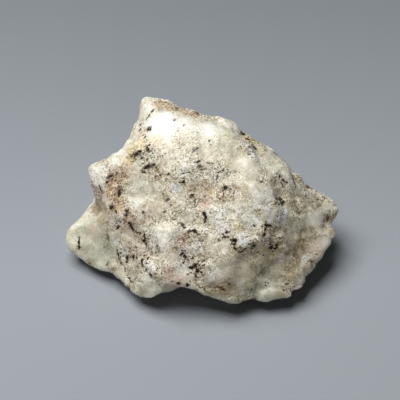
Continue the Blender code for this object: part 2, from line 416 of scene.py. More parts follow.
calm = np.zeros(len(points))
for column, row, radius_mm, strength in CALM_PATCHES.values():
    calm = np.maximum(calm, strength * near_share(seen_at(column, row)[0], radius_mm))
print("smooth patches seen from the front:", len(CALM_PATCHES))

# %% Smooth patches on the hidden sides, at random
HIDDEN_CALM = 7
HIDDEN_CALM_MM = (2.0, 4.5)
chance = np.random.default_rng(41)
for centre in points[chance.choice(hidden, HIDDEN_CALM)]:
    calm = np.maximum(calm, near_share(centre, chance.uniform(*HIDDEN_CALM_MM)))
store("calm", calm)
print("share of the skin that is smooth:", round(float(calm.mean()), 2))

# %% [markdown]
# ## Broken flats and sugar grains
#
# Sugary rock breaks round its grains: each grain leaves a small flat with its own tilt, and groups
# of grains leave bigger ones. That is a rule that follows the surface, so Geometry Nodes make it.
# A Voronoi texture cuts space into cells. Each cell has a random colour, and this tree reads it
# as a random tilt and level: the surface moves by how far it is from the cell's centre, along
# the tilt. Two sizes are laid over each other, and a soft noise digs a pit where it is highest.

# %% The relief tree
rock_material = bpy.data.materials.new("white_tugtupite_rock_broken")  # its nodes come later
RELIEF = {  # input name: value, in mm where it is a length
    "Chip Width": 2.3,
    "Chip Slope": 0.07,
    "Chip Step": 0.05,
    "Grain Width": 0.85,
    "Grain Slope": 0.16,
    "Grain Step": 0.06,
    "Pit Width": 2.6,
    "Pit Depth": 0.16,
    "Wander": 0.7,
    "Calm Share": 0.85,
}
PIT_STARTS, PIT_IS_DEEPEST = 0.60, 0.74  # of the noise, which runs from 0 to 1
FOOT_MM = 1.2  # the relief fades out this near the table, so that the flat spot stays flat
BEND_MM = 2.0  # the bends in the edges of the cells are this long
LOWEST = (-1.0, -1.0, 0.0)  # in metres: nothing goes below the table, and sideways is free


def new_tree(name, inputs):
    """An empty Geometry Nodes tree with named number inputs and one material input."""
    tree = bpy.data.node_groups.new(name, "GeometryNodeTree")
    tree.interface.new_socket("Geometry", in_out="INPUT", socket_type="NodeSocketGeometry")
    for label, value in inputs.items():
        socket = tree.interface.new_socket(label, in_out="INPUT", socket_type="NodeSocketFloat")
        socket.default_value = value
    tree.interface.new_socket("Finish", in_out="INPUT", socket_type="NodeSocketMaterial")
    tree.interface.new_socket("Geometry", in_out="OUTPUT", socket_type="NodeSocketGeometry")
    return tree


def relief_tree():
    """Moves a skin in and out by broken flats of two sizes, and by pits."""
    tree = new_tree("broken_sugar_relief", RELIEF)
    given = add(tree, "NodeGroupInput").outputs
    place = add(tree, "GeometryNodeInputPosition")
    mm = add(tree, "ShaderNodeVectorMath", {0: place, "Scale": 1 / MM}, operation="SCALE")

    # The space is bent a little first, so that the edges of the cells don't run straight.
    drift = add(tree, "ShaderNodeTexNoise", {"Vector": mm, "Scale": 1 / BEND_MM, "Detail": 2.0})
    centred = add(tree, "ShaderNodeVectorMath", {0: drift.outputs["Color"], 1: HALF}, operation="SUBTRACT")
    pushed = add(tree, "ShaderNodeVectorMath", {0: centred, "Scale": given["Wander"]}, operation="SCALE")
    bent = add(tree, "ShaderNodeVectorMath", {0: mm, 1: pushed}, operation="ADD")

    heights = []
    for kind in ("Chip", "Grain"):
        often = add(tree, "ShaderNodeMath", {0: 1.0, 1: given[kind + " Width"]}, operation="DIVIDE")
        cell = add(tree, "ShaderNodeTexVoronoi", {"Vector": bent, "Scale": often}).outputs
        own, tilt = lean_of(tree, cell, bent)
        sloped = add(tree, "ShaderNodeMath", {0: tilt, 1: given[kind + " Slope"]}, operation="MULTIPLY")
        level = add(tree, "ShaderNodeSeparateXYZ", {0: own}).outputs[2]
        stepped = {0: level, 1: given[kind + " Step"], 2: sloped}
        heights.append(add(tree, "ShaderNodeMath", stepped, operation="MULTIPLY_ADD"))
    broken = add(tree, "ShaderNodeMath", {0: heights[0], 1: heights[1]}, operation="ADD")

    pit_often = add(tree, "ShaderNodeMath", {0: 1.0, 1: given["Pit Width"]}, operation="DIVIDE")
    pit_noise = add(tree, "ShaderNodeTexNoise", {"Vector": bent, "Scale": pit_often, "Detail": 1.0})
    pit_range = {"Value": pit_noise, "From Min": PIT_STARTS, "From Max": PIT_IS_DEEPEST}
    pit = add(tree, "ShaderNodeMapRange", pit_range, interpolation_type="SMOOTHSTEP")
    pit_depth = add(tree, "ShaderNodeMath", {0: pit, 1: given["Pit Depth"]}, operation="MULTIPLY")
    rough = add(tree, "ShaderNodeMath", {0: broken, 1: pit_depth}, operation="SUBTRACT")

    # The smooth patches keep little of it, and the foot none.
    calm = add(tree, "GeometryNodeInputNamedAttribute", {"Name": "calm"}, data_type="FLOAT")
    hushed = add(tree, "ShaderNodeMath", {0: calm, 1: given["Calm Share"]}, operation="MULTIPLY")
    loud = add(tree, "ShaderNodeMath", {0: 1.0, 1: hushed}, operation="SUBTRACT")
    height_mm = add(tree, "ShaderNodeSeparateXYZ", {0: mm}).outputs[2]
    foot_range = {"Value": height_mm, "From Max": FOOT_MM}
    clear = add(tree, "ShaderNodeMapRange", foot_range, interpolation_type="SMOOTHSTEP")
    share = add(tree, "ShaderNodeMath", {0: loud, 1: clear}, operation="MULTIPLY")
    moved = add(tree, "ShaderNodeMath", {0: rough, 1: share}, operation="MULTIPLY")
    metres = add(tree, "ShaderNodeMath", {0: moved, 1: MM}, operation="MULTIPLY")
    facing = add(tree, "GeometryNodeInputNormal")
    offset = add(tree, "ShaderNodeVectorMath", {0: facing, "Scale": metres}, operation="SCALE")
    shaped = add(tree, "GeometryNodeSetPosition", {"Geometry": given["Geometry"], "Offset": offset})

    # Whatever went below the table is set on it.
    lifted = add(tree, "ShaderNodeVectorMath", {0: place, 1: LOWEST}, operation="MAXIMUM")
    stood = add(tree, "GeometryNodeSetPosition", {"Geometry": shaped, "Position": lifted})
    soft = add(tree, "GeometryNodeSetShadeSmooth", {"Geometry": stood})
    real = add(tree, "GeometryNodeRealizeInstances", {0: soft})
    dressed = add(tree, "GeometryNodeSetMaterial", {"Geometry": real, "Material": given["Finish"]})
    add(tree, "NodeGroupOutput", {0: dressed})
    return tree


def run_tree(obj, tree, values, finish):
    """Runs a tree on an object with these inputs, and keeps the result as a plain mesh."""
    modifier = obj.modifiers.new(tree.name, "NODES")
    modifier.node_group = tree
    for item in tree.interface.items_tree:
        if item.in_out == "INPUT" and item.name in values:
            modifier[item.identifier] = values[item.name]
        if item.in_out == "INPUT" and item.name == "Finish":
            modifier[item.identifier] = finish
    return worked_in(obj)


run_tree(rock, relief_tree(), RELIEF, rock_material)
points, facings, skin = surface(rock)
print("rock:", sum(len(face.vertices) - 2 for face in rock.data.polygons), "triangles")

# %% [markdown]
# ## Stains and pale patches
#
# The minerals of such a rock change from place to place, and water carries iron and clay into
# its hollows and cracks. The kinds below are named for what they look like. Chalk stands for
# cloudy white albite, and it is also the painted highlight of the big flat that faces the lamp.
# Milk stands for cloudy white albite too, and it is also painted light on lit spots, ridges,
# knobs and rims. Celadon stands for the clear grey-green of the smooth lobe, ash for greyer spots,
# frost for fresh whitish crystals, and blush for the faint pink that tugtupite is known for.
# Ochre, tan, rose and rust are iron stains from light to dark, and tan is also painted shade in
# the fold over the lobe. Drab is clay and fine dark grains, and it is also painted shade on walls,
# seams, hollows and folds and under the edges.
#
# Each kind is a list of places, as the smooth patches are. The finish turns it into colour, and
# noise breaks up its edges.

# %% Where the colours change: column, row, radius in mm, strength
COLOUR_PATCHES = {
    "blush": {
        "left_wall": (102, 194, 4.4, 0.9),
        "left_shelf": (108, 176, 3.0, 0.7),
        "left_wall_foot": (122, 218, 3.4, 1.0),
        "beside_the_mound": (142, 214, 2.6, 0.7),
        "bowl": (142, 248, 3.0, 0.7),
        "hollow": (182, 250, 3.0, 0.9),
        "low_middle": (176, 274, 3.2, 1.0),
        "low_middle_right": (200, 270, 2.8, 0.6),
        "centre": (206, 208, 2.4, 0.9),
        "shoulder": (124, 176, 2.6, 0.6),
        "slope": (158, 170, 2.4, 0.5),
        "back_rim": (244, 142, 2.4, 0.6),
        "right_seam": (270, 234, 2.0, 0.6),
        "lobe_top": (92, 232, 1.8, 0.7),
        "right_rim": (316, 248, 2.0, 0.7),
        "middle": (174, 188, 2.6, 0.35),
        "high_rim": (266, 156, 1.6, 0.45),
    },
    # chalk: cloudy white albite, and the painted highlight of the big flat that faces the lamp
    "chalk_and_painted_highlight": {
        "white_flat": (164, 127, 3.8, 1.0),
        "white_flat_right": (181, 125, 2.8, 0.7),
        "flat_slope": (213, 127, 2.4, 0.45),
    },
    # milk: cloudy white albite, and painted light on the lit spots, ridges, knobs and rims listed here
    "milk_and_painted_light": {
        "peak": (149, 108, 2.4, 0.7),
        "rim_pale": (238, 132, 1.2, 0.8),
        "rim_pale_lower": (262, 160, 1.4, 0.6),
        "round_pale": (290, 182, 1.4, 0.9),
        "band_pale": (266, 204, 1.8, 0.9),
        "crest_pale": (227, 231, 1.2, 0.8),
        "wall_pale": (271, 243, 1.6, 0.9),
        "wall_foot_pale": (259, 260, 1.4, 0.8),
        "left_wall_pale": (145, 213, 1.4, 0.7),
        "mound_foot_pale": (160, 248, 1.4, 0.8),
        "low_rim_pale": (214, 283, 1.4, 0.8),
        "seam_pale": (188, 171, 1.2, 0.7),
        "low_right_pale": (325, 221, 1.4, 0.8),
        "left_nub": (95, 172, 1.8, 0.9),
        "left_nub_low": (100, 181, 2.0, 1.0),
        "left_shelf": (105, 169, 1.6, 0.8),
        "left_edge": (120, 150, 1.8, 0.9),
        "left_rim": (112, 160, 1.6, 0.7),
        "wall_foot": (136, 204, 1.9, 0.7),
        "mound": (161, 227, 2.0, 0.4),
        "mound_low": (167, 240, 2.0, 0.9),
        "white_ridge": (115, 240, 1.2, 1.0),
        "beige_pad": (124, 243, 1.6, 0.5),
        "small_knob": (143, 250, 1.0, 0.9),
        "mound_foot": (152, 269, 1.3, 0.8),
        "toe": (145, 287, 1.8, 0.6),
        "low_middle": (183, 266, 2.2, 1.0),
        "low_middle_left": (172, 258, 1.8, 0.6),
        "centre_knob": (206, 226, 2.0, 0.4),
        "lit_left": (188, 216, 1.8, 0.7),
        "lit_middle": (216, 216, 2.4, 0.8),
        "right_of_centre": (230, 206, 2.0, 0.4),
        "lit_right": (242, 214, 2.0, 0.7),
        "under_orange": (243, 242, 1.7, 1.0),
        "crest_left": (225, 230, 1.7, 1.0),
        "upper_right": (213, 138, 2.4, 0.4),
        "seam_lip": (186, 165, 1.8, 0.6),
        "above_centre": (216, 172, 2.0, 0.8),
        "top_rim": (239, 132, 1.4, 1.0),
        "band_top": (257, 160, 1.7, 0.8),
        "band_foot": (261, 199, 2.4, 1.0),
        "crystals": (282, 214, 2.0, 1.0),
        "crystals_left": (270, 214, 1.6, 0.9),
        "round_knob": (286, 176, 1.4, 1.0),
        "rim_bulge": (317, 219, 1.8, 1.0),
        "rim_bulge_low": (323, 240, 1.8, 0.6),
        "low_pad": (215, 272, 1.8, 0.8),
        "rim_knob": (305, 258, 0.8, 1.0),
        "green_foot_rim": (274, 296, 1.2, 0.3),
        "cream_rim": (143, 126, 1.5, 0.9),
        "rust_gap": (120, 219, 1.7, 1.0),
        "bowl_rim": (123, 251, 1.4, 0.9),
        "mound_right": (174, 234, 1.4, 1.0),
        "mound_heel": (157, 240, 2.4, 1.0),
        "lit_low": (195, 249, 1.5, 1.0),
        "over_centre": (192, 166, 1.4, 0.8),
        "over_centre_low": (197, 182, 1.5, 1.0),
        "between_grains": (215, 178, 1.2, 0.9),
        "crest_foot": (266, 241, 1.2, 0.6),
        "beside_hollow": (269, 195, 1.6, 1.0),
        "right_tip": (330, 213, 1.2, 0.9),
        "rust_pale": (247, 144, 1.4, 1.0),
        "pale_band": (252, 168, 1.8, 0.7),
        "toe_top": (150, 282, 1.8, 0.9),
        "arch_rim": (188, 284, 1.4, 0.8),
        "low_pad_foot": (217, 281, 1.6, 1.0),
        "right_rim_low": (317, 260, 1.0, 0.3),
        "right_rim_mid": (324, 248, 1.2, 0.4),
        "right_rim_foot": (303, 279, 1.0, 0.5),
        "left_slope": (125, 144, 1.5, 0.9),
        "lobe_rim": (94, 266, 1.0, 0.4),
        "lobe_rim_right": (106, 270, 1.0, 0.6),
        "lobe_rim_left": (82, 259, 1.0, 0.8),
        "toe_rim": (149, 296, 1.2, 0.9),
        "cream_step": (153, 150, 1.2, 1.0),
        "cream_edge": (137, 153, 0.9, 0.7),
        "grain_gap": (143, 168, 0.8, 0.6),
        "shelf_low": (134, 187, 1.1, 0.9),
        "shelf_right": (149, 189, 0.9, 0.8),
        "rust_island": (111, 205, 1.2, 1.0),
        "rust_island_low": (125, 206, 0.9, 0.9),
        "lobe_tip": (74, 243, 1.2, 0.7),
        "lobe_tip_low": (76, 256, 1.0, 0.7),
        "small_spur": (145, 266, 1.3, 1.0),
        "lit_low_left": (184, 252, 1.5, 1.0),
        "seam_lip_low": (185, 170, 1.5, 1.0),
        "lit_band": (222, 154, 1.6, 0.5),
        "centre_spot": (205, 214, 1.1, 1.0),
        "crest_top": (250, 223, 1.2, 0.7),
        "crest_lit": (242, 247, 1.8, 1.0),
        "band_side": (258, 183, 1.3, 0.8),
        "hollow_rim": (277, 173, 1.2, 1.0),
        "below_crystals": (274, 226, 1.2, 0.6),
        "seam_bead": (270, 243, 1.2, 1.0),
        "seam_bead_low": (260, 255, 1.3, 0.9),
        "tip_lit": (327, 217, 1.2, 1.0),
        "tip_lit_low": (321, 227, 0.9, 0.8),
        "knob_low": (281, 261, 0.9, 0.7),
        "foot_lip": (267, 283, 1.0, 0.7),
        "right_slope_lit": (252, 155, 1.8, 0.9),
    },
    "celadon": {
        "milky_left": (139, 184, 3.0, 0.9),
        "upper_slope": (196, 134, 2.6, 0.5),
        "lobe": (86, 232, 4.4, 0.9),
        "lobe_low": (100, 254, 4.0, 0.9),
        "toe": (158, 286, 2.6, 0.8),
        "green_foot": (268, 290, 3.2, 1.0),
        "pale_band": (251, 174, 2.6, 0.6),
        "pale_band_low": (257, 190, 2.0, 0.5),
        "under_mound": (150, 196, 2.4, 0.6),
        "top_middle": (216, 128, 3.0, 0.5),
        "above_shade": (207, 268, 2.6, 0.5),
        "right_slope": (272, 166, 2.4, 0.6),
        "right_flank": (304, 222, 2.2, 0.5),
        "above_the_band": (236, 150, 2.6, 0.6),
        "above_the_seam": (222, 150, 2.6, 0.5),
        "top_slope": (206, 142, 2.6, 0.4),
        "band_shoulder": (268, 158, 2.0, 0.6),
    },
    # drab: clay and fine dark grains, and painted shade on walls, seams, hollows, folds and under the edges
    "drab_and_painted_shade": {
        "milky_left_top": (137, 178, 2.0, 0.5),
        "slope_grey": (206, 150, 2.2, 0.35),
        "lower_left": (136, 264, 3.0, 0.6),
        "groove": (134, 230, 1.8, 0.5),
        "wall_over_lobe": (98, 206, 2.2, 1.0),
        "wall_over_lobe_low": (102, 217, 2.2, 1.0),
        "lobe_shade": (85, 248, 2.4, 0.4),
        "strip_beside_lobe": (116, 262, 1.6, 0.8),
        "slope_left": (152, 172, 2.4, 0.7),
        "slope_top": (139, 160, 1.8, 0.7),
        "centre_left": (162, 198, 1.5, 0.8),
        "mound_top": (160, 216, 1.4, 0.5),
        "dark_lower_middle": (197, 262, 2.0, 0.5),
        "centre_groove": (205, 240, 1.6, 0.4),
        "right_folds": (295, 200, 2.4, 0.8),
        "seam": (273, 248, 1.9, 1.0),
        "seam_low": (266, 264, 1.6, 0.4),
        "seam_top": (271, 234, 1.5, 0.7),
        "right_brown": (303, 236, 2.0, 1.0),
        "right_low": (291, 271, 2.2, 1.0),
        "right_low_rim": (284, 280, 1.8, 0.5),
        "under_edge": (212, 290, 1.8, 1.0),
        "shade_crest": (250, 262, 2.6, 0.4),
        "top_flat": (191, 130, 1.6, 0.3),
        "slope_grit": (161, 166, 1.4, 0.9),
        "shoulder_grit": (136, 177, 1.8, 0.8),
        "shoulder_grit_left": (120, 178, 1.4, 0.9),
        "under_shoulder": (130, 195, 1.4, 0.5),
        "needle_shade": (84, 239, 1.3, 0.7),
        "seam_by_lobe": (107, 243, 1.2, 0.6),
        "strip_top": (112, 261, 1.6, 0.8),
        "ring": (126, 229, 1.4, 0.7),
        "front_rim": (131, 287, 1.3, 1.0),
        "dark_pair": (235, 188, 1.8, 0.7),
        "band_edge": (246, 198, 1.1, 0.8),
        "shade_left": (222, 268, 1.4, 0.5),
        "folds_foot": (300, 211, 1.5, 0.7),
        "folds_top": (297, 178, 1.2, 1.0),
        "tip_shade": (316, 204, 2.2, 0.8),
        "seam_head": (277, 233, 1.4, 1.0),
        "right_hollow": (293, 237, 1.4, 0.7),
        "under_bulge": (311, 233, 1.5, 0.9),
        "tip_hole": (330, 229, 1.1, 1.0),
        "foot_right": (286, 290, 1.5, 0.8),
        "foot_step": (262, 272, 1.2, 0.6),
        "foot_step_low": (250, 287, 1.2, 0.9),
        "low_wall": (234, 280, 1.4, 0.7),
        "crest_pit": (250, 237, 1.0, 0.5),
        "peak_back": (160, 110, 1.2, 0.7),
        "flat_foot": (160, 142, 1.6, 0.4),
        "ash_side": (198, 151, 1.2, 0.8),
        "long_grain_foot": (152, 170, 1.4, 1.0),
        "cream_foot": (130, 160, 1.4, 0.9),
        "shelf_pit": (124, 187, 1.0, 0.8),
        "shoulder_pit": (143, 181, 1.0, 0.6),
        "nub_pit": (101, 197, 1.1, 0.9),
        "lobe_back": (84, 212, 1.4, 0.6),
        "lobe_neck": (105, 220, 1.4, 0.8),
        "bowl_lip": (138, 238, 1.3, 0.8),
        "milky_pit": (184, 213, 1.0, 0.9),
        "centre_low": (173, 201, 1.0, 0.5),
        "low_dip": (168, 256, 1.0, 0.6),
        "low_groove": (199, 260, 1.4, 0.8),
        "slope_pit": (236, 157, 1.3, 0.7),
        "seam_pit": (213, 169, 1.0, 0.5),
        "dark_pair_right": (245, 186, 1.0, 0.7),
        "lit_pit": (240, 218, 1.0, 0.6),
        "crest_pit_left": (227, 240, 1.0, 0.4),
        "hollow_low": (275, 203, 1.0, 0.9),
        "folds_left": (285, 206, 1.2, 0.6),
        "folds_middle": (297, 195, 1.3, 1.0),
        "folds_right": (305, 209, 1.3, 0.8),
        "spot_shade": (297, 250, 1.3, 0.9),
        "seam_mouth": (279, 231, 1.0, 0.7),
        "low_right_pad": (292, 274, 2.2, 1.0),
        "seam_end": (264, 271, 1.4, 0.9),
        "seam_end_top": (271, 263, 1.0, 0.7),
        "rim_notch": (333, 229, 1.0, 0.8),
        "foot_under": (229, 289, 1.4, 0.7),
        "foot_corner": (283, 292, 1.8, 1.0),
        "arch_wall": (207, 291, 1.4, 0.6),
        "ring_low": (129, 231, 1.0, 0.5),
        "back_right": (285, 170, 1.0, 0.5),
        "right_low_wall": (307, 268, 1.6, 0.8),
        "right_wall_top": (306, 249, 1.6, 0.8),
        "lobe_foot": (92, 262, 1.2, 0.8),
        "lobe_heel": (108, 260, 2.6, 0.3),
        "toe_low": (146, 293, 2.0, 0.7),
        "left_toe": (130, 287, 1.6, 0.6),
        "low_rim": (206, 289, 1.8, 0.7),
        "right_wall": (298, 237, 2.0, 0.5),
        "left_wall": (101, 200, 1.6, 0.6),
        "lobe_hollow": (83, 253, 1.2, 0.7),
        "right_wall_foot": (296, 262, 1.8, 0.8),
        "flat_shade": (165, 142, 1.4, 0.3),
        "fold_shade": (300, 196, 1.4, 0.6),
        "rim_hole_shade": (326, 223, 1.2, 0.7),
        "brown_line_shade": (299, 243, 1.4, 0.6),
        "brown_line_left": (288, 256, 1.6, 0.5),
    },
    "tan": {
        "behind_the_peak": (158, 104, 1.6, 0.8),
        "back_strip_left": (170, 107, 1.6, 1.0),
        "back_strip": (182, 110, 1.5, 0.9),
        "back_strip_right": (196, 114, 1.3, 0.9),
        "centre": (202, 188, 2.6, 0.7),
        "centre_left": (192, 195, 2.0, 0.5),
        "centre_right": (218, 188, 2.0, 0.4),
        "centre_low": (222, 197, 1.8, 0.6),
        "rust_wall": (114, 186, 2.4, 0.9),
        "rust_wall_low": (118, 204, 2.4, 0.8),
        "rust_foot": (124, 216, 2.0, 0.7),
        "rust_wall_foot": (132, 224, 2.0, 0.5),
        "back_rust": (246, 141, 1.4, 0.2),
        "back_rust_foot": (242, 152, 1.8, 0.6),
        "shaded_streak": (300, 250, 2.0, 0.6),
        "foot_brown": (222, 287, 2.0, 0.9),
        "left_shoulder": (126, 172, 2.0, 0.7),
        "dark_hollow": (240, 191, 1.4, 0.5),
        "low_right_pad": (292, 273, 1.4, 0.6),
        "centre_spot_low": (207, 201, 1.4, 0.7),
        # painted shade in the fold between the lobe and the main mass
        "wall_over_lobe": (99, 207, 1.8, 0.7),
    },
    "ochre": {
        "cream_top": (142, 132, 1.8, 0.5),
        "cream": (140, 144, 2.0, 0.7),
        "cream_low": (131, 150, 1.4, 1.0),
        "cream_foot": (129, 160, 1.3, 0.8),
        "orange_spot": (238, 227, 1.0, 0.9),
        "centre_spot": (212, 192, 1.1, 0.6),
        "rust_wall_spot": (117, 198, 1.2, 0.7),
        "rim_spot_low": (260, 150, 1.0, 0.5),
        "toe_moss": (163, 288, 1.2, 0.5),
        "flat_edge": (156, 140, 2.2, 0.6),
        "seam_olive": (264, 254, 3.4, 0.8),
        "crest_olive": (238, 248, 2.0, 0.7),
        "right_spot": (330, 217, 1.6, 0.7),
        "shade_olive": (250, 270, 3.2, 0.5),
        "rust_wall_high": (113, 190, 1.4, 0.6),
        "rust_wall_low": (119, 209, 1.4, 0.5),
        "back_peach": (250, 140, 2.2, 1.0),
        "rim_peach": (262, 149, 1.4, 0.7),
        "crest_peach": (236, 226, 1.6, 0.5),
        "crest_gold": (252, 249, 2.0, 0.5),
        "bowl_gold": (124, 240, 2.2, 0.4),
        "toe_gold": (157, 280, 1.8, 0.4),
        "front_rim_gold": (236, 295, 1.6, 0.5),
        "right_olive": (298, 244, 2.6, 0.35),
        "right_low_olive": (292, 262, 2.4, 0.35),
    },
    "rose": {
        "hollow": (181, 240, 1.4, 0.9),
        "lilac": (176, 189, 1.3, 0.5),
        "rim": (241, 137, 1.3, 0.2),
        "back_strip": (190, 113, 1.2, 0.6),
        "mottled_knob": (286, 240, 1.4, 0.5),
        "shade_crest": (214, 256, 1.4, 0.4),
    },
    "rust": {
        "wall_top": (111, 178, 1.1, 0.9),
        "wall": (109, 184, 0.9, 0.8),
        "wall_edge": (117, 192, 1.0, 0.9),
        "wall_foot": (112, 208, 1.0, 0.8),
        "right_hole": (327.6, 219, 0.8, 1.0),
        "right_spot": (311, 263, 0.8, 1.0),
        "right_streak": (301, 247, 0.8, 0.7),
        "right_streak_low": (296, 256, 0.9, 1.0),
        "brown_line_low": (288, 254, 0.8, 0.7),
        "back_rim": (247, 139, 0.6, 0.8),
        "back_rim_low": (251, 147, 0.6, 0.6),
        "right_hollow": (275, 184, 0.9, 0.6),
        "right_hollow_low": (278, 192, 0.9, 0.6),
        "foot": (221, 288, 0.8, 0.6),
        "strip_edge": (198, 112, 0.6, 0.8),
    },
    "frost": {
        "crystals": (283, 211, 1.6, 1.0),
        "crystals_foot": (286, 217, 1.0, 0.8),
        "crest": (252, 223, 1.8, 0.6),
        "crest_low": (243, 240, 1.3, 0.8),
        "lilac": (176, 188, 1.4, 0.7),
        "lit_edge": (228, 212, 1.4, 0.5),
        "top_slope": (206, 126, 3.2, 0.6),
        "top_slope_low": (207, 140, 2.4, 0.4),
        "peak": (148, 107, 1.6, 0.6),
    },
    "ash": {
        "lobe_heel": (109, 261, 2.2, 0.45),
        "green_foot_low": (269, 295, 1.6, 0.35),
        "behind_the_seam": (158, 186, 1.8, 0.3),
        "speck": (195, 149, 0.7, 1.0),
        "speck_top": (199, 143, 0.5, 0.7),
        "right_mottle": (306, 197, 1.2, 0.5),
        "folds": (297, 192, 1.2, 0.6),
        "crest": (254, 224, 0.9, 0.5),
    },
}

# %% [markdown]
# The back and the underside have the same rock, so they get patches of the same kinds, at places
# drawn at random with a fixed seed from the skin that faces away from the camera. Such a patch
# fades out where the skin turns to the front, which keeps the front as it is listed above.

# %% Colour patches on all sides
HIDDEN_PATCHES = {  # name: (how many, smallest and largest radius in mm)
    "chalk_and_painted_highlight": (1, 1.6, 2.4),
    "milk_and_painted_light": (11, 1.6, 4.0),
    "celadon": (11, 2.0, 4.5),
    "drab_and_painted_shade": (12, 2.0, 4.5),
    "tan": (10, 1.2, 3.2),
    "ochre": (6, 0.9, 1.8),
    "rose": (4, 1.0, 1.8),
    "rust": (9, 0.6, 1.2),
    "ash": (6, 0.6, 1.6),
    "frost": (5, 0.8, 1.8),
    "blush": (5, 2.5, 4.5),
}
HIDDEN_STRENGTH = (0.5, 1.0)
COLOUR_EDGE = 0.8  # stains fade out over most of their radius
TURN = 0.2  # hidden patches are gone where the skin faces the camera by this, and whole at minus this
behind = np.clip(0.5 - facings @ np.array(back) / (2 * TURN), 0.0, 1.0)
for kind, patches in COLOUR_PATCHES.items():
    mask = np.zeros(len(points))
    for column, row, radius_mm, strength in patches.values():
        share = near_share(seen_at(column, row)[0], radius_mm, COLOUR_EDGE)
        mask = np.maximum(mask, strength * share)
    count, smallest, largest = HIDDEN_PATCHES[kind]
    for centre in points[chance.choice(hidden, count)]:
        strength = chance.uniform(*HIDDEN_STRENGTH) * behind
        share = near_share(centre, chance.uniform(smallest, largest), COLOUR_EDGE)
        mask = np.maximum(mask, strength * share)
    store(kind, mask)
print("colour patches:", {kind: len(patches) for kind, patches in COLOUR_PATCHES.items()})

# %% [markdown]
# ## Dark grains grown into the rock
#
# The black spots are crystals of amphibole and aegirine, a third of a millimetre to two
# millimetres long, single or in clusters, and strung along old cracks. They could be painted
# alone, but real ones stand in the surface, so each gets a painted outline and a few small angular
# chips sunk into the rock. The lists below say where each grain is, how big and how it is turned.

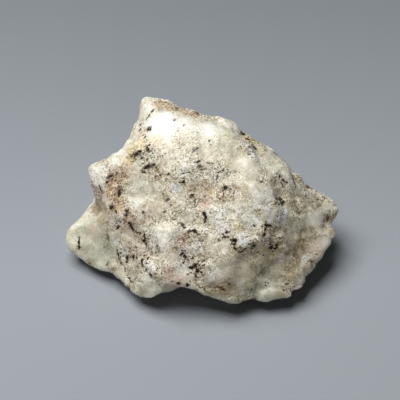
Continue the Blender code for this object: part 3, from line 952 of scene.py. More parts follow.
# %% Clusters seen from the front: column, row, length, width (in pixels), angle in degrees
DARK_CLUSTERS = {
    "peak_edge": [(165, 102, 3, 1.6, -30), (153, 104, 1.6, 1.2, 0)],
    "white_flat": [
        (149, 129, 5.1, 4, 70), (175, 120, 2.4, 1.6, 60), (184, 125, 2, 1.6, 0),
        (177.5, 131, 1.6, 1.2, 0),
    ],
    "left_edge": [
        (140.5, 124.5, 3, 1.5, 20), (140, 130, 3.4, 1.9, 0), (145.5, 136.8, 2.6, 1.6, 20),
        (107.5, 157, 3.4, 1.3, 80), (105.8, 166, 1.8, 1.4, 0), (107.8, 162, 1.4, 1.2, 0),
    ],
    "cream_hollow": [
        (135.5, 154, 5.1, 4.5, 40), (139.6, 151.8, 3.8, 2.3, 20), (147.4, 149.6, 3.8, 2.8, 60),
        (149.5, 145, 2.8, 1.6, 30), (141.5, 158.3, 2.4, 1.6, 0), (147.2, 159.4, 2.2, 1.6, 80),
        (143.5, 154.5, 2.4, 1.4, 120), (145.6, 146.6, 1.8, 1.2, 0), (149.5, 152, 1.8, 1.3, 40),
    ],
    "long_grain": [
        (147.3, 167, 7, 3.8, 15), (152.6, 165.4, 5.8, 3, 8), (143.3, 171.8, 4.8, 2.8, -20),
        (156.5, 167.2, 2.4, 1.4, 0),
    ],
    "slope": [
        (157.8, 170, 2.6, 1.4, 50), (168.7, 174.2, 3.1, 1.9, 20), (160, 175, 2, 1.4, 0),
        (162.3, 156, 1.8, 1.2, 90), (183.3, 182, 3.4, 2.5, 30), (179.6, 182.4, 2, 1.4, 0),
        (173, 171, 1.6, 1.2, 0),
    ],
    "rust_wall": [
        (109.4, 177, 6.3, 1.9, 22), (107.2, 182, 3.1, 2.3, 30), (100.5, 188, 7, 1.9, 100),
        (119.6, 191.5, 9.4, 2.8, 84), (117.6, 173, 2, 1.4, 0), (111.3, 207.5, 4.8, 3.6, 20),
        (115.8, 211, 2.4, 1.6, 0), (113.5, 195, 1.8, 1.2, 0), (114.8, 200.5, 1.6, 1.1, 0),
        (110.6, 190, 1.8, 1.2, 60),
    ],
    "pair": [(127.4, 211.4, 4.3, 3.6, 60), (126.3, 214.8, 3.6, 3, 20), (143.2, 212, 3, 1.4, 80)],
    "centre_left": [
        (167.4, 200, 5.1, 4, 60), (164.2, 211.8, 2.7, 2.3, 0), (170.8, 205, 2, 1.5, 0),
        (163.4, 193.4, 2.2, 1.4, 30),
    ],
    "upper_middle": [
        (198.3, 161.6, 5.1, 2, 28), (198.9, 166.3, 3.4, 2.3, -20), (209.3, 140.6, 1.9, 1.9, 0),
        (211.5, 162.8, 2.6, 1.4, -20), (207.3, 162.8, 1.8, 1.2, 0), (197.5, 148, 3.4, 1.6, 60),
        (193.6, 151, 3, 1.6, 20),
    ],
    "centre": [
        (192, 195, 3.6, 2.2, 20), (189.8, 197.4, 2.2, 1.3, 0), (195.3, 198.8, 2.2, 1.3, -20),
        (217.5, 176.6, 4.6, 1.3, 78), (218.4, 172.2, 2.0, 1.1, 60), (225.1, 187.5, 4.3, 3.4, 0),
        (230.6, 189.2, 2.2, 1.5, 0), (223.7, 194.6, 2.2, 1.3, 70), (204.6, 196.4, 2, 1.3, 0),
        (185.1, 209.2, 1.6, 1.3, 0), (208, 190.2, 1.6, 1.1, 0),
    ],
    "right_top": [
        (279.3, 176.6, 2.9, 2.2, 30), (283.5, 180.5, 3.8, 2, -35), (286.9, 182.4, 2, 1.4, 0),
        (294, 181.4, 4.8, 2.2, -65), (261.2, 181.8, 3.4, 1.9, 10), (249.5, 154.2, 2.2, 2, 0),
        (307.8, 187.2, 2.7, 1.9, 0), (310.8, 188.6, 2, 1.3, 0), (304.6, 190.6, 1.8, 1.4, 0),
        (305.8, 195.6, 3, 1.6, 80), (318, 199.8, 2.4, 1.5, 0), (312.6, 201.4, 1.8, 1.3, 0),
    ],
    "back_rim": [
        (245.6, 131, 5.4, 2.9, -52), (244.4, 134, 2.4, 1.7, -50), (247.6, 139, 6.4, 2.6, -62),
        (252.5, 144.5, 2.6, 1.6, 40), (254.2, 147.6, 5.8, 3.4, -30), (249.6, 147, 2.6, 1.5, -20),
        (265.4, 150.6, 2.8, 1.5, -40),
    ],
    "green_black": [
        (276.6, 200, 4.6, 3.4, 60), (280.2, 199.6, 4.0, 3.0, -30), (282.8, 202.6, 4.2, 3.0, 40),
        (278.8, 203.8, 4.2, 2.6, 0), (282, 205.4, 2.2, 1.5, 0), (275.6, 203.6, 1.8, 1.3, 0),
    ],
    "vertical_streak": [
        (204.4, 213.6, 4.3, 3, 80), (205.8, 217.6, 3.8, 2.8, 60), (205, 221.4, 3.8, 1.9, 90),
        (210.6, 212.8, 1.8, 1.2, 0),
    ],
    "mid_left_pair": [
        (182.8, 225, 4.9, 2.3, -50), (184.4, 227.4, 3.4, 2.5, 0), (189.6, 231.2, 4.5, 2.2, 4),
        (194.4, 230.8, 4.9, 2.3, -4), (198.8, 234.4, 3.4, 2, -20), (196.6, 232.8, 2, 1.4, 0),
    ],
    "groove": [
        (144.6, 236.3, 5.8, 2.6, 84), (143.6, 240.6, 4.9, 3.7, 60), (146.6, 243.8, 2.8, 1.5, -20),
        (157.3, 245.6, 4.2, 1.4, 96), (118.2, 227.4, 3.8, 2.9, 40), (120.4, 222, 2.2, 1.5, 0),
        (125.8, 222, 2.2, 1.5, 0), (123.4, 219.2, 1.8, 1.2, 0),
    ],
    "lower_left": [
        (120.6, 253, 3.1, 2, 0), (127.2, 258, 4.8, 3.1, 60), (126, 262.2, 2.4, 1.7, 0),
        (133.1, 256.6, 3.3, 2.8, 0), (136.8, 258, 2.7, 1.9, 20), (134, 250.2, 1.8, 1.4, 0),
        (140.4, 255.2, 2, 1.5, 0), (144.1, 255.7, 2.2, 1.4, 0), (148.2, 257.6, 3.6, 1.9, 70),
        (152.3, 253, 1.9, 1.4, 0), (141.7, 262, 5.8, 2.4, 100), (142.8, 266.4, 2.4, 1.7, 0),
        (146.4, 269.4, 2.6, 1.4, 90), (151, 275.4, 5.1, 3.1, 0), (155.2, 274, 2, 1.4, 20),
        (157.3, 268.5, 2, 1.4, 0), (161.4, 273.4, 1.8, 1.1, 0), (141.3, 272.2, 2, 1.4, 40),
        (123.6, 247.5, 1.9, 1.5, 0), (137.4, 266.6, 1.8, 1.2, 0), (130.6, 252.2, 1.6, 1.2, 0),
        (146, 262.6, 1.7, 1.2, 0),
    ],
    "lower_middle": [
        (181.6, 253.8, 3.6, 2.6, 30), (185.1, 256.8, 4.1, 2.9, -40), (192.8, 258, 3.4, 2.2, 60),
        (198.8, 261.2, 2.2, 1.9, 0), (203.3, 261.2, 2.5, 2, 0), (191.6, 267.4, 4.8, 3.3, 20),
        (195.6, 265.6, 4.9, 3.8, 40), (197.2, 270.6, 4.8, 4, 70), (200.8, 271.6, 1.8, 1.4, 0),
        (195.8, 275.6, 4.5, 2.4, 100), (202.3, 274.8, 1.7, 1.3, 0), (183.8, 262, 1.8, 1.4, 0),
        (188.2, 259.8, 1.8, 1.3, 0), (204.4, 264.8, 2.2, 1.6, 0), (199.4, 265.2, 2, 1.3, 0),
        (191, 272.6, 1.7, 1.2, 0),
    ],
    "under_edge": [
        (178.4, 283.5, 4.5, 2.2, -8), (187, 285.2, 4.8, 2.9, 20), (171.6, 281.4, 2.2, 1.4, 0),
        (190, 281.4, 1.8, 1.3, 0),
    ],
    "crest_black": [
        (265.8, 225, 5.1, 3.4, 92), (265.2, 229.4, 4.1, 2.2, 80), (263.9, 234.6, 4.5, 3.1, 60),
        (270.4, 225.8, 5.4, 1.9, -18), (261.8, 226.4, 1.9, 1.3, 0),
    ],
    "crest_left": [
        (234.2, 240.2, 4.8, 4, 0), (226.6, 232.2, 3, 2.4, 60), (224.7, 237, 3.4, 2, 0),
        (228.2, 237, 2.4, 1.5, -30), (219, 239.8, 1.8, 1.3, 0), (233.7, 244.3, 3.6, 2.2, 0),
        (234.9, 248.4, 4.9, 2.2, -40), (230.6, 240, 1.8, 1.3, 0), (253.5, 246, 4.5, 3.6, 60),
        (251.4, 248.6, 2.2, 1.5, 0), (256.8, 252.4, 2, 1.4, 0), (263.5, 255.2, 2, 1.4, 0),
        (246.6, 237, 2, 1.4, 0), (254.2, 225.6, 2.2, 1.4, 0), (222.6, 234, 1.6, 1.1, 0),
    ],
    "crest_right": [
        (270.6, 247.4, 4.8, 2.9, 0), (276.4, 245.4, 3.8, 2.5, 70), (274.8, 248.6, 2.4, 1.7, 0),
        (269.6, 244.4, 2.2, 1.4, 0), (272.6, 251.4, 1.8, 1.3, 0),
    ],
    "foot": [
        (265.8, 282.4, 1.9, 1.4, 0), (265.8, 285.8, 1.9, 1.4, 0), (286.4, 283.8, 3.6, 1.5, 15),
        (229.4, 284.2, 2.4, 1.6, 0), (221.6, 287.4, 2.2, 1.4, -20),
    ],
    "right_holes": [(327.6, 220.4, 2.2, 1.4, 80), (311, 264.4, 1.6, 1.2, 40)],
    "lobe": [(107.2, 264.3, 4.6, 1.5, 58), (89.4, 263, 2.6, 1.7, -30), (104.2, 247, 1.4, 1, 0)],
}
DARK_TRAILS = {  # grains strung along old cracks: width in pixels, then the points of the crack
    "peak_crack": (1.5, (153.4, 109.4), (152.2, 111.4), (150.4, 114.6), (148, 117.8), (145.2, 119.6)),
    "mound_trail": (3.1, (129.2, 222.6), (130.8, 226), (132.8, 229.2), (135.8, 231.4), (139, 233.6)),
    "lobe_needle": (2.1, (79.4, 237.4), (79.2, 241.6), (78.9, 246), (78.8, 250.2)),
    "lobe_seam": (1.1, (108.5, 234.6), (108.4, 237.6), (108.2, 240.6)),
    "left_ring": (
        1.3, (117.5, 250.2), (118.2, 254), (119, 258), (121.3, 263), (124.9, 267.5), (125.8, 272),
    ),
    "left_ring_foot": (1.0, (126.6, 275), (129.5, 279.4), (134, 283.8)),
    "crest_trail": (1.6, (238.6, 251.6), (241.4, 251.8), (244.6, 249.4), (247.4, 248.2)),
    "right_seam": (1.0, (283.4, 165.4), (282.6, 168.6)),
    "right_seam_low": (0.9, (291, 172.6), (293.2, 177.8), (295, 184), (296.6, 189)),
    "middle_seam": (0.55, (182, 173.6), (188, 172.2), (195, 171.8), (200, 170.4), (204, 168.6)),
    "upper_seam": (0.6, (222.6, 171.2), (225.8, 167.6)),
    "foot_seam": (0.9, (217.6, 287), (221.6, 289), (226, 291.4)),
}

# %% [markdown]
# A grain's turn comes from three directions: along it, across it, and out of the rock. The one out
# of the rock is the surface's own. The other two lie in the surface, turned to the angle that
# the list gives.

# %% From the lists to grains
dark_grains = []  # each: place, along, out, length and width in mm


def plant(place, facing, along, length_mm, width_mm):
    """Notes one grain that lies in the surface."""
    out = facing.normalized()
    along = (along - out * along.dot(out)).normalized()
    dark_grains.append((place, along, out, length_mm, width_mm))


def plant_seen(column, row, length, width, angle):
    """Notes one grain where it shows from the front. Lengths are in pixels of the frame."""
    place, facing = seen_at(column, row)
    turned = math.radians(angle)
    along = sight @ Vector((math.cos(turned), math.sin(turned), 0.0))
    plant(place, facing, along, length / PIXELS_PER_MM, width / PIXELS_PER_MM)


LARGE_CLUSTER = 5  # a cluster of this many grains or more has splinters too
SPLINTERS = 2  # small ones beside each grain, all sizes in pixels
SPLINTER_SPREAD = 3.0
SPLINTER_LENGTH = (1.0, 1.9)
SPLINTER_WIDTH = (0.8, 1.2)
splinter_chance = np.random.default_rng(11)
for cluster in DARK_CLUSTERS.values():
    for column, row, length, width, angle in cluster:
        plant_seen(column, row, length, width, angle)
        for _ in range(SPLINTERS if len(cluster) >= LARGE_CLUSTER else 0):
            aside = splinter_chance.normal(0, SPLINTER_SPREAD, 2)
            length = splinter_chance.uniform(*SPLINTER_LENGTH)
            width = splinter_chance.uniform(*SPLINTER_WIDTH)
            angle = splinter_chance.uniform(0, 180)
            plant_seen(column + aside[0], row + aside[1], length, width, angle)
print("grains in clusters, with their splinters:", len(dark_grains))

# %% Grains strung along the cracks
TRAIL_STEP = 1.5  # pixels from one grain to the next
TRAIL_STRAY = 0.25  # pixels
TRAIL_LENGTH = (1.4, 2.6)  # pixels
TRAIL_WIDTH = (0.7, 1.15)  # of the trail's own width
TRAIL_TURN = 12  # degrees, to either side of the crack
trail_chance = np.random.default_rng(7)
for width, *crack in DARK_TRAILS.values():
    for (column, row), (next_column, next_row) in zip(crack, crack[1:]):
        run = math.hypot(next_column - column, next_row - row)
        angle = math.degrees(math.atan2(row - next_row, next_column - column))
        for step in range(max(1, round(run / TRAIL_STEP))):
            share = step * TRAIL_STEP / run
            plant_seen(
                column + (next_column - column) * share + trail_chance.normal(0, TRAIL_STRAY),
                row + (next_row - row) * share + trail_chance.normal(0, TRAIL_STRAY),
                trail_chance.uniform(*TRAIL_LENGTH),
                width * trail_chance.uniform(*TRAIL_WIDTH),
                angle + trail_chance.normal(0, TRAIL_TURN),
            )
print("with those along cracks:", len(dark_grains))

# %% [markdown]
# The sides that the camera doesn't see have clusters of their own, drawn with a fixed seed.

# %% Clusters on the hidden sides
HIDDEN_CLUSTERS = 55
CLUSTER_GRAINS = (2, 9)
CLUSTER_SPREAD_MM = 1.2
GRAIN_WIDTH_MM = (0.25, 0.75)
GRAIN_LENGTH = (1.0, 2.2)  # of its width
CLUSTER_FACES, GRAIN_FACES = -0.3, -0.15  # a cluster's middle, and each grain, faces away by this
far_side = np.flatnonzero(facings @ np.array(back) < CLUSTER_FACES)
for centre in points[chance.choice(far_side, HIDDEN_CLUSTERS)]:
    for _ in range(chance.integers(*CLUSTER_GRAINS)):
        aside = Vector(chance.normal(0, CLUSTER_SPREAD_MM * MM, 3))
        spot, facing, _, _ = skin.find_nearest(Vector(centre) + aside)
        if facing.dot(back) > GRAIN_FACES:  # only the grains listed above are seen from the front
            continue
        width_mm = chance.uniform(*GRAIN_WIDTH_MM)
        along = Vector(chance.normal(0, 1, 3))
        plant(spot, facing, along, width_mm * chance.uniform(*GRAIN_LENGTH), width_mm)
print("dark grains in all:", len(dark_grains))

# %% [markdown]
# ## Where the grains stain the rock
#
# A dark grain has no clean edge. Thin slivers of it reach between the pale ones around it, and it
# bleeds a brown halo. Two numbers for each point of the skin carry that: ink is 0.5 at the
# grain's edge and 1 in its middle, and halo fades out about a millimetre away. The finish
# turns both into ragged marks.

# %% Ink and halo
HALO_MM = 0.95
FULL_HALO_MM = 0.6  # a grain narrower than this has a weaker halo
INK_REACH = 2.0  # ink is 0 this many half-lengths from the middle
ink, halo = np.zeros(len(points)), np.zeros(len(points))
for place, along, out, length_mm, width_mm in dark_grains:
    aside = points - np.array(place)
    apart = np.linalg.norm(aside, axis=1)
    close = np.flatnonzero(apart < max(INK_REACH * length_mm / 2, 2 * HALO_MM) * MM)
    across = out.cross(along)
    steps_along = aside[close] @ along / (length_mm / 2) / MM
    steps_across = aside[close] @ across / (width_mm / 2) / MM
    ink[close] = np.maximum(ink[close], 1 - np.hypot(steps_along, steps_across) / INK_REACH)
    strength = min(1.0, width_mm / FULL_HALO_MM)
    fading = np.exp(-((apart[close] / (HALO_MM * MM)) ** 2))
    halo[close] = np.maximum(halo[close], strength * fading)
store("ink", ink)
store("halo", halo)
print("points under a grain:", int((ink > 0.5).sum()))

# %% [markdown]
# ## The finish of the rock
#
# The material is white tugtupite rock, and its surface was broken, not cut or tumbled. It is a
# fine-grained, slightly see-through silicate: light goes a little way into it and comes out soft,
# the broken crystals glint, and each is a touch lighter or darker than the next. The finish is
# built up in layers, each in a cell of its own: the clouds of the ground colour, the patches, a
# tint for each crystal, dark gaps, a haze and specks round the dark grains, and the dark grains'
# ragged edges. An image wrapped round the stone would stretch and show its seams. Patterns that read
# Object coordinates in millimetres, and numbers kept on the skin, fit it from any side.

# %% Ground colour: cloudy and clear
CLEAR_COLOUR = "#D0C8B1"
CLOUDS = {"#DCD3BC": (0.34, 0.50), "#E8E2D0": (0.50, 0.66)}  # where in the noise it starts and is full
CLOUD_MM = 2.8  # the widest clouds, with finer ones laid over them
rock_material.use_nodes = True
tree = rock_material.node_tree
shader = tree.nodes["Principled BSDF"]
place = add(tree, "ShaderNodeTexCoord").outputs["Object"]
mm = add(tree, "ShaderNodeVectorMath", {0: place, "Scale": 1 / MM}, operation="SCALE")
cloud_look = {"Vector": mm, "Scale": 1 / CLOUD_MM, "Detail": 2.5, "Roughness": 0.55, "Distortion": 0.3}
cloud = add(tree, "ShaderNodeTexNoise", cloud_look)
colour = linear(CLEAR_COLOUR)
for hex_colour, (start, full) in CLOUDS.items():
    laid = add(tree, "ShaderNodeMapRange", {"Value": cloud, "From Min": start, "From Max": full})
    mixed = {0: laid, 6: colour, 7: linear(hex_colour)}
    colour = add(tree, "ShaderNodeMix", mixed, data_type="RGBA").outputs[2]
print("clouds of", len(CLOUDS), "colours over a clear ground")

# %% Stains and pale patches
PATCH_COLOURS = {  # painted in this order: colour, and how much of it shows
    "celadon": ("#C8CBB6", 0.78),
    "blush": ("#DCBFAE", 0.60),
    # cloudy white, and the painted highlight of the flat that faces the lamp
    "chalk_and_painted_highlight": ("#FFFDF6", 0.90),
    # cloudy white, and painted light on lit spots and rims
    "milk_and_painted_light": ("#FAF4E4", 0.85),
    # clay grey-brown, and painted shade
    "drab_and_painted_shade": ("#8F8260", 0.60),
    "tan": ("#AA8860", 0.60),
    "ochre": ("#E0CC98", 0.65),
    "rose": ("#B08C7E", 0.55),
    "rust": ("#7C5232", 0.60),
    "ash": ("#8C958E", 0.70),
    "frost": ("#EFF4EE", 0.80),
}
RAGGED_MM = 1.3  # the frayed edges wander by about this much, with finer frays in them
RAGGED_RANGE = (0.32, 0.68)  # the part of the noise that is used
PATCH_STRENGTH, FRAY = 1.6, 0.8  # how strongly a patch is laid, and how much the noise takes off it
ragged_look = {"Vector": mm, "Scale": 1 / RAGGED_MM, "Detail": 6.0, "Roughness": 0.75}
ragged = add(tree, "ShaderNodeTexNoise", ragged_look)
spread = {"Value": ragged, "From Min": RAGGED_RANGE[0], "From Max": RAGGED_RANGE[1]}
ragged = add(tree, "ShaderNodeMapRange", spread)
fray = add(tree, "ShaderNodeMath", {0: ragged, 1: FRAY, 2: -FRAY}, operation="MULTIPLY_ADD")
for kind, (hex_colour, share) in PATCH_COLOURS.items():
    painted = add(tree, "ShaderNodeAttribute", attribute_name=kind).outputs["Fac"]
    frayed = {0: painted, 1: PATCH_STRENGTH, 2: fray}
    frayed = add(tree, "ShaderNodeMath", frayed, operation="MULTIPLY_ADD")
    laid = add(tree, "ShaderNodeMapRange", {"Value": frayed, "To Max": share})
    mixed = {0: laid, 6: colour, 7: linear(hex_colour)}
    colour = add(tree, "ShaderNodeMix", mixed, data_type="RGBA").outputs[2]
print("patch colours:", ", ".join(PATCH_COLOURS))

# %% [markdown]
# Crumbled rock looks like wet sugar: each crystal is a little lighter or darker than the next,
# thin gaps between the crumbs lie in shade, and a few crystals catch the light. Each could be a
# mesh of its own, but there are about a hundred thousand on the skin. A Voronoi cell for each,
# with its random colour read as a tint, gives the eye the same grain. The shade in the gaps is
# painted shade and the bright crystals are painted glints, both laid into the colour. The
# crystals are a quarter of a millimetre, which is about the finest that the frame can show.

# %% A tint for each crystal, and for each small group of them
SUGAR_MM, SUGAR_SHADE = 0.23, 0.70  # one crystal, and how far its tint strays
LUMP_MM, LUMP_SHADE = 0.80, 0.06  # a few crystals together
CALM_TINT = 0.25  # how much of the tints shows on the smooth parts
CLEAR_GRIT, CLOUDY_GRIT = 1.35, 0.40  # the clear parts are grittier than the cloudy ones
GRIT_RANGE = (0.40, 0.62)  # of the noise that makes the clouds
calm = add(tree, "ShaderNodeAttribute", attribute_name="calm").outputs["Fac"]
uncalm = add(tree, "ShaderNodeMapRange", {"Value": calm, "To Min": 1.0, "To Max": CALM_TINT})
grit = {"Value": cloud, "From Min": GRIT_RANGE[0], "From Max": GRIT_RANGE[1]}
grit = add(tree, "ShaderNodeMapRange", grit | {"To Min": CLEAR_GRIT, "To Max": CLOUDY_GRIT})
lively = add(tree, "ShaderNodeMath", {0: uncalm, 1: grit}, operation="MULTIPLY")
cells, owns, shades = [], [], []
for size_mm, stray in ((SUGAR_MM, SUGAR_SHADE), (LUMP_MM, LUMP_SHADE)):
    cells.append(add(tree, "ShaderNodeTexVoronoi", {"Vector": mm, "Scale": 1 / size_mm}).outputs)
    owns.append(add(tree, "ShaderNodeSeparateColor", {"Color": cells[-1]["Color"]}))
    shades.append(add(tree, "ShaderNodeMapRange", {"Value": owns[-1], "To Min": -stray, "To Max": stray}))
sugar_own = owns[0].outputs  # three random numbers for each crystal
print("crystals of", SUGAR_MM, "mm, and groups of", LUMP_MM, "mm")

# %% Painted shade in the gaps between the crumbs, and painted glints on a few crystals
GAP_MM, GAP_PAINTED_SHADE = 0.62, -0.13  # one crumb, and how dark the painted shade in the gap beside it is
GAP_RANGE = (0.02, 0.16)  # of a crumb's width: the painted shade is darkest here, and ends here
PAINTED_GLINT_SHARE, PAINTED_GLINT_SHADE = 0.055, 0.45  # how many crystals get a painted glint, and how much lighter it makes them
TINT_TIMES, TINT_PLUS = 0.45, 0.27  # a tint multiplies the colour, and adds plain light or dark; it carries the painted glints and gap shade too
DARKEST = (0.02, 0.02, 0.02)
gaps = {"Vector": mm, "Scale": 1 / GAP_MM}
gaps = add(tree, "ShaderNodeTexVoronoi", gaps, feature="DISTANCE_TO_EDGE").outputs["Distance"]
painted_gap_shade = {"Value": gaps, "From Min": GAP_RANGE[0], "From Max": GAP_RANGE[1]}
painted_gap_shade = add(tree, "ShaderNodeMapRange", painted_gap_shade | {"To Min": GAP_PAINTED_SHADE, "To Max": 0.0})
painted_gap_shade = add(tree, "ShaderNodeMath", {0: painted_gap_shade, 1: ragged}, operation="MULTIPLY")
# painted glints: a few crystals made lighter in colour
painted_glint = add(tree, "ShaderNodeMath", {0: sugar_own[1], 1: 1 - PAINTED_GLINT_SHARE}, operation="GREATER_THAN")
painted_glint = add(tree, "ShaderNodeMath", {0: painted_glint, 1: PAINTED_GLINT_SHADE}, operation="MULTIPLY")
# the crystals' own tints, with the painted gap shade and the painted glints added
tint_and_painted_light = shades[1]
for part in (shades[0], painted_gap_shade, painted_glint):
    tint_and_painted_light = add(tree, "ShaderNodeMath", {0: tint_and_painted_light, 1: part}, operation="ADD")
tint_and_painted_light = add(tree, "ShaderNodeMath", {0: tint_and_painted_light, 1: lively}, operation="MULTIPLY")
times = add(tree, "ShaderNodeMath", {0: tint_and_painted_light, 1: TINT_TIMES, 2: 1.0}, operation="MULTIPLY_ADD")
plus = add(tree, "ShaderNodeMath", {0: tint_and_painted_light, 1: TINT_PLUS}, operation="MULTIPLY")
colour = add(tree, "ShaderNodeVectorMath", {0: colour, 1: times, 2: plus}, operation="MULTIPLY_ADD")
colour = add(tree, "ShaderNodeVectorMath", {0: colour, 1: DARKEST}, operation="MAXIMUM")
print("crumbs of", GAP_MM, "mm, and one crystal in", round(1 / PAINTED_GLINT_SHARE), "is bright")

# %% [markdown]
# Iron from the dark grains has stained the rock round them, and fine brown dust of the same
# minerals lies between the crystals there and in the stains. The haze is a soft colour that
# follows the halo, and the specks are Voronoi cells, of which a small share is chosen.

# %% A brown haze round the dark grains
HAZE_COLOUR, HAZE_SHARE = "#8C7852", 0.42
haze = add(tree, "ShaderNodeAttribute", attribute_name="halo").outputs["Fac"]
haze = add(tree, "ShaderNodeMath", {0: haze, 1: ragged}, operation="MULTIPLY")
haze = add(tree, "ShaderNodeMath", {0: haze, 1: HAZE_SHARE}, operation="MULTIPLY")
mixed = {0: haze, 6: colour, 7: linear(HAZE_COLOUR)}
colour = add(tree, "ShaderNodeMix", mixed, data_type="RGBA").outputs[2]
print("haze:", HAZE_COLOUR)

# %% Brown specks, thick round the dark grains and in the stains
SPECK_MM = 0.32
SPECK_DARK, SPECK_PALE = "#3A2A14", "#86704A"
SPECK_SHARE, SPECK_NONE = 0.04, 0.025  # clear crumbled parts have a few, and the others none
SPECK_SPREAD = {"halo": 0.32, "tan": 0.12, "rust": 0.28, "drab_and_painted_shade": 0.03}  # the share that each adds
SPECK_RANGE, SPECK_STRENGTH = (0.28, 0.55), 0.85  # of its width: it starts to fade, and ends
chosen_share = {0: lively, 1: SPECK_SHARE, 2: -SPECK_NONE}
chosen_share = add(tree, "ShaderNodeMath", chosen_share, operation="MULTIPLY_ADD")
for kind, share in SPECK_SPREAD.items():
    painted = add(tree, "ShaderNodeAttribute", attribute_name=kind).outputs["Fac"]
    more = {0: painted, 1: share, 2: chosen_share}
    chosen_share = add(tree, "ShaderNodeMath", more, operation="MULTIPLY_ADD")
specks = add(tree, "ShaderNodeTexVoronoi", {"Vector": mm, "Scale": 1 / SPECK_MM}).outputs
speck_own = add(tree, "ShaderNodeSeparateColor", {"Color": specks["Color"]}).outputs
chosen = add(tree, "ShaderNodeMath", {0: speck_own[0], 1: chosen_share}, operation="LESS_THAN")
speck_edge = {"Value": specks["Distance"], "From Min": SPECK_RANGE[0], "From Max": SPECK_RANGE[1]}
speck_edge = add(tree, "ShaderNodeMapRange", speck_edge | {"To Min": SPECK_STRENGTH, "To Max": 0.0})
speck = add(tree, "ShaderNodeMath", {0: chosen, 1: speck_edge}, operation="MULTIPLY")
mixed = {0: speck_own[1], 6: linear(SPECK_DARK), 7: linear(SPECK_PALE)}
speck_colour = add(tree, "ShaderNodeMix", mixed, data_type="RGBA").outputs[2]
mixed = {0: speck, 6: colour, 7: speck_colour}
colour = add(tree, "ShaderNodeMix", mixed, data_type="RGBA").outputs[2]
print("specks of", SPECK_MM, "mm, thicker where there is", ", ".join(SPECK_SPREAD))

# %% [markdown]
# The dark grains' outline comes from the ink. A noise is added to it before it is cut off, which
# tears the edge into slivers, and a brown ink laid under the black one shows past its edge.

# %% The ragged edges of the dark grains
EDGE_MM, EDGE_TEAR = 0.45, 1.7  # the size of the tears, and how far they move the edge
INKS = {  # colour: the ink at which it starts and is full, and how much of it shows
    "#665030": (0.18, 0.52, 0.75),
    "#21150A": (0.46, 0.60, 1.0),
}
edge_look = {"Vector": mm, "Scale": 1 / EDGE_MM, "Detail": 3.0, "Roughness": 0.7}
torn = add(tree, "ShaderNodeTexNoise", edge_look)
torn = add(tree, "ShaderNodeMath", {0: torn, 1: EDGE_TEAR, 2: -EDGE_TEAR / 2}, operation="MULTIPLY_ADD")
inked = add(tree, "ShaderNodeAttribute", attribute_name="ink").outputs["Fac"]
torn = add(tree, "ShaderNodeMath", {0: inked, 1: torn}, operation="ADD")
for hex_colour, (start, full, share) in INKS.items():
    laid = {"Value": torn, "From Min": start, "From Max": full, "To Max": share}
    laid = add(tree, "ShaderNodeMapRange", laid)
    mixed = {0: laid, 6: colour, 7: linear(hex_colour)}
    colour = add(tree, "ShaderNodeMix", mixed, data_type="RGBA").outputs[2]
tree.links.new(colour, shader.inputs["Base Color"])
print("inks:", ", ".join(INKS))

# %% [markdown]
# The crystals are glassy and broken. Some faces glint and some are dull, so the roughness goes by
# the crystal, and each face leans its own way, which the bump shows where the mesh is too coarse.
# Light sinks in by a few millimetres and comes out a little warmer, as in fine marble. Without
# that the stone would look like plaster.

# %% Gloss, crystal faces and depth
ROCK_IOR = 1.5  # sodalite-group minerals are near 1.49
GLOSSY, DULL = 0.22, 0.65
SUGAR_LEAN, LUMP_LEAN = 0.45, 0.14  # how steeply the faces lean
LIGHT_DEPTH_MM, LIGHT_SHARE = 3.6, 0.8  # how far light spreads inside, and how much of it does
WARMTH = (1.0, 0.90, 0.78)  # red goes furthest, and blue least
gloss = add(tree, "ShaderNodeMapRange", {"Value": sugar_own[2], "To Min": GLOSSY, "To Max": DULL})
tree.links.new(gloss.outputs[0], shader.inputs["Roughness"])
slopes = []
for cell, slope in zip(cells, (SUGAR_LEAN, LUMP_LEAN)):
    _, tilt = lean_of(tree, cell, mm)
    slopes.append(add(tree, "ShaderNodeMath", {0: tilt, 1: slope}, operation="MULTIPLY"))
faces_mm = add(tree, "ShaderNodeMath", {0: slopes[0], 1: slopes[1]}, operation="ADD")
faces = add(tree, "ShaderNodeMath", {0: faces_mm, 1: lively}, operation="MULTIPLY")
bump = add(tree, "ShaderNodeBump", {"Height": faces, "Strength": 1.0, "Distance": MM})
tree.links.new(bump.outputs[0], shader.inputs["Normal"])
shader.inputs["IOR"].default_value = ROCK_IOR
shader.inputs["Subsurface Weight"].default_value = LIGHT_SHARE
shader.inputs["Subsurface Radius"].default_value = WARMTH
shader.inputs["Subsurface Scale"].default_value = LIGHT_DEPTH_MM * MM
print("finish:", rock_material.name, len(tree.nodes), "nodes")

# %% [markdown]
# ## The body of the dark grains
#
# The ink gives their outline, and real chips give them height and edges. Each grain is a few
# small angular chips, nearly sunk. The material is black amphibole, broken and then weathered.
# Fresh faces are glassy and black to bottle green. These have lain in the open, so they are brown
# black, rather rough, and shine little: the eye gets a deep, dry black beside the pale rock.

# %% Grain finish
BROWN_MM = 1.2  # patches of brown weathering
BROWN_RANGE = (0.36, 0.64)  # the part of the noise that is used
GRAIN_BLACK, GRAIN_BROWN = "#1C1206", "#372710"
SPLINTERY_MM, SPLINTER_DEPTH_MM = 0.25, 0.05  # the fine splinters of a broken face
grain_material = bpy.data.materials.new("black_amphibole_broken")
grain_material.use_nodes = True
tree = grain_material.node_tree
shader = tree.nodes["Principled BSDF"]
place = add(tree, "ShaderNodeTexCoord").outputs["Object"]
mm = add(tree, "ShaderNodeVectorMath", {0: place, "Scale": 1 / MM}, operation="SCALE")
patch = add(tree, "ShaderNodeTexNoise", {"Vector": mm, "Scale": 1 / BROWN_MM, "Detail": 4.0})
spread = {"Value": patch, "From Min": BROWN_RANGE[0], "From Max": BROWN_RANGE[1]}
patch = add(tree, "ShaderNodeMapRange", spread)
mixed = {0: patch, 6: linear(GRAIN_BLACK), 7: linear(GRAIN_BROWN)}
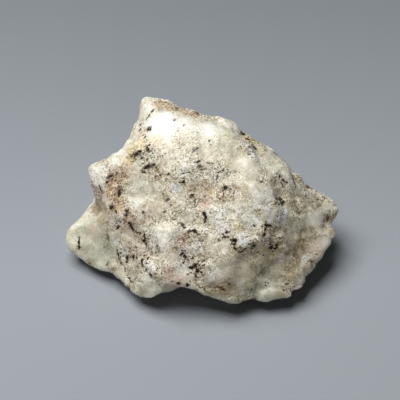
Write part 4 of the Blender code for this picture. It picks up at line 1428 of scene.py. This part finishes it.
colour = add(tree, "ShaderNodeMix", mixed, data_type="RGBA").outputs[2]
tree.links.new(colour, shader.inputs["Base Color"])
fine = add(tree, "ShaderNodeTexNoise", {"Vector": mm, "Scale": 1 / SPLINTERY_MM, "Detail": 2.0})
splinters = {"Height": fine, "Strength": 0.4, "Distance": SPLINTER_DEPTH_MM * MM}
bump = add(tree, "ShaderNodeBump", splinters)
tree.links.new(bump.outputs[0], shader.inputs["Normal"])
shader.inputs["Roughness"].default_value = 0.60
shader.inputs["IOR"].default_value = 1.65  # amphiboles are near 1.65
shader.inputs["Specular IOR Level"].default_value = 0.10  # weathered faces shine less
print("finish:", grain_material.name, len(tree.nodes), "nodes")

# %% The chips' places: points that carry a size and a turn
CHIPS_PER_GRAIN = 3
CHIP_SHIFT = 0.32  # of the grain's length and width, to either side of its middle
CHIP_SHARE = (0.45, 0.85)  # of the grain's length and width
CHIP_TURN = 0.35  # radians, to either side of the grain's own direction
CHIP_THICKNESS = 0.5  # of a chip's width
SUNK = 0.38  # a chip's middle lies this share of its thickness under the surface
CLEAR_OF_TABLE = 0.8 * MM  # nothing grows out where the stone lies on the table
chip_chance = np.random.default_rng(5)
chip_places, chip_sizes, chip_turns = [], [], []
for place, along, out, length_mm, width_mm in dark_grains:
    if place.z < CLEAR_OF_TABLE:
        continue
    across = out.cross(along)
    for _ in range(CHIPS_PER_GRAIN):
        shift = chip_chance.uniform(-CHIP_SHIFT, CHIP_SHIFT, 2)
        spot = place + (along * shift[0] * length_mm + across * shift[1] * width_mm) * MM
        size = chip_chance.uniform(*CHIP_SHARE, 2)
        turned = chip_chance.normal(0, CHIP_TURN)
        chip_along = along * math.cos(turned) + across * math.sin(turned)
        thickness_mm = width_mm * size[1] * CHIP_THICKNESS
        chip_places.append(spot - out * thickness_mm * SUNK * MM)
        chip_sizes.append((length_mm * size[0], width_mm * size[1], thickness_mm))
        axes = Matrix((chip_along, out.cross(chip_along), out)).transposed()
        chip_turns.append(tuple(axes.to_euler()))
print("chips:", len(chip_places))

# %% The chips
CHIPS = {"Chip Diameter": 1.0, "Ragged": 0.22}  # mm: before its point scales it, and how far it strays
JITTER_MM = 0.5  # the bumps that make a chip ragged are this wide


def chip_tree():
    """Puts an angular chip on each point, sized and turned by what the point carries."""
    tree = new_tree("grown_in_grains", CHIPS)
    given = add(tree, "NodeGroupInput").outputs
    radius = add(tree, "ShaderNodeMath", {0: given["Chip Diameter"], 1: 0.5 * MM}, operation="MULTIPLY")
    chip = add(tree, "GeometryNodeMeshIcoSphere", {"Radius": radius, "Subdivisions": 1})
    size = add(tree, "GeometryNodeInputNamedAttribute", {"Name": "size_mm"}, data_type="FLOAT_VECTOR")
    turn = add(tree, "GeometryNodeInputNamedAttribute", {"Name": "turn"}, data_type="FLOAT_VECTOR")
    turned = add(tree, "FunctionNodeEulerToRotation", {0: turn})
    spots = {"Points": given["Geometry"], "Instance": chip, "Rotation": turned, "Scale": size}
    planted = add(tree, "GeometryNodeInstanceOnPoints", spots)
    real = add(tree, "GeometryNodeRealizeInstances", {0: planted})
    place = add(tree, "GeometryNodeInputPosition")
    mm = add(tree, "ShaderNodeVectorMath", {0: place, "Scale": 1 / MM}, operation="SCALE")
    jitter = add(tree, "ShaderNodeTexNoise", {"Vector": mm, "Scale": 1 / JITTER_MM, "Detail": 1.0})
    centred = add(tree, "ShaderNodeVectorMath", {0: jitter.outputs["Color"], 1: HALF}, operation="SUBTRACT")
    reach = add(tree, "ShaderNodeMath", {0: given["Ragged"], 1: 2 * MM}, operation="MULTIPLY")
    push = add(tree, "ShaderNodeVectorMath", {0: centred, "Scale": reach}, operation="SCALE")
    ragged = add(tree, "GeometryNodeSetPosition", {"Geometry": real, "Offset": push})
    dressed = add(tree, "GeometryNodeSetMaterial", {"Geometry": ragged, "Material": given["Finish"]})
    add(tree, "NodeGroupOutput", {0: dressed})
    return tree


chip_mesh = bpy.data.meshes.new("dark_grains")
chip_mesh.from_pydata([tuple(place) for place in chip_places], [], [])
for label, values in (("size_mm", chip_sizes), ("turn", chip_turns)):
    attribute = chip_mesh.attributes.new(label, "FLOAT_VECTOR", "POINT")
    attribute.data.foreach_set("vector", np.array(values, np.float32).ravel())
grains = placed("dark_grains", chip_mesh)
run_tree(grains, chip_tree(), CHIPS, grain_material)
print("dark grains:", len(grains.data.polygons), "triangles")

# %% [markdown]
# ## Floor and light
#
# The stone lies on a plain grey sheet of matt paper, its grey painted darker towards the back as
# painted shade. One big soft lamp stands almost over it, a little behind and to the left, as a
# window or a light box would. It lights the flats that face up, draws each ledge by the shade
# under it, and leaves the front foot in its own shade. A weak lamp low in front and a faint sky
# keep that shade readable.

# %% Floor
FLOOR_SIZE = 1.6
NEAR_GREY, FAR_PAINTED_SHADE_GREY = "#9A9FA5", "#7E8388"
NEAR, FAR = -0.010, 0.070  # the painted shade on the paper deepens from here to here, along Y
floor_material = bpy.data.materials.new("grey_backdrop_paper_matt")
floor_material.use_nodes = True
tree = floor_material.node_tree
shader = tree.nodes["Principled BSDF"]
place = add(tree, "ShaderNodeTexCoord").outputs["Object"]
split = add(tree, "ShaderNodeSeparateXYZ", {0: place})
# painted shade: the paper's grey darkens towards the back
painted_shade_to_back = add(tree, "ShaderNodeMapRange", {"Value": split.outputs[1], "From Min": NEAR, "From Max": FAR})
mixed = {0: painted_shade_to_back, 6: linear(NEAR_GREY), 7: linear(FAR_PAINTED_SHADE_GREY)}
colour = add(tree, "ShaderNodeMix", mixed, data_type="RGBA").outputs[2]
tree.links.new(colour, shader.inputs["Base Color"])
shader.inputs["Roughness"].default_value = 0.9
shader.inputs["Specular IOR Level"].default_value = 0.2

floor_mesh = bpy.data.meshes.new("floor")
half = FLOOR_SIZE / 2
corners = [(-half, -half, 0), (half, -half, 0), (half, half, 0), (-half, half, 0)]
floor_mesh.from_pydata(corners, [], [(0, 1, 2, 3)])
floor = placed("floor", floor_mesh)
floor.data.materials.append(floor_material)
print("floor:", FLOOR_SIZE, "m square")

# %% Light
LAMPS = {  # name: azimuth from the back over the right, elevation, distance and size in m, watts
    "key": (297, 70, 0.60, 0.42, 5.0),
    "front_fill": (180, 18, 0.60, 0.25, 0.14),
}
SKY_COLOUR, SKY_STRENGTH = "#F4F4F4", 0.012
for name, (azimuth, elevation, lamp_distance, size, watts) in LAMPS.items():
    lamp = bpy.data.lights.new(name, "AREA")
    lamp.energy = watts
    lamp.size = size
    obj = placed(name, lamp)
    around, up = math.radians(azimuth), math.radians(elevation)
    towards = Vector((math.sin(around) * math.cos(up), math.cos(around) * math.cos(up), math.sin(up)))
    obj.location = LOOK_AT + towards * lamp_distance
    obj.rotation_euler = towards.to_track_quat("Z", "Y").to_euler()
world = bpy.data.worlds.new("dim_sky")
bpy.context.scene.world = world
world.use_nodes = True
sky = world.node_tree.nodes["Background"].inputs
sky["Color"].default_value = linear(SKY_COLOUR)
sky["Strength"].default_value = SKY_STRENGTH
bpy.context.scene.view_settings.view_transform = "Standard"
print("lamps:", ", ".join(LAMPS))

# %% [markdown]
# ## Tie the pieces to the part
#
# The sugary skin stands for the imported stone, which is hidden, and the grains ride with it on
# the root body.

# %% Ride, replace, finish
ROOT = "root"
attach(rock, ROOT)
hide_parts("stone")
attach(grains, ROOT)

bpy.context.view_layer.update()
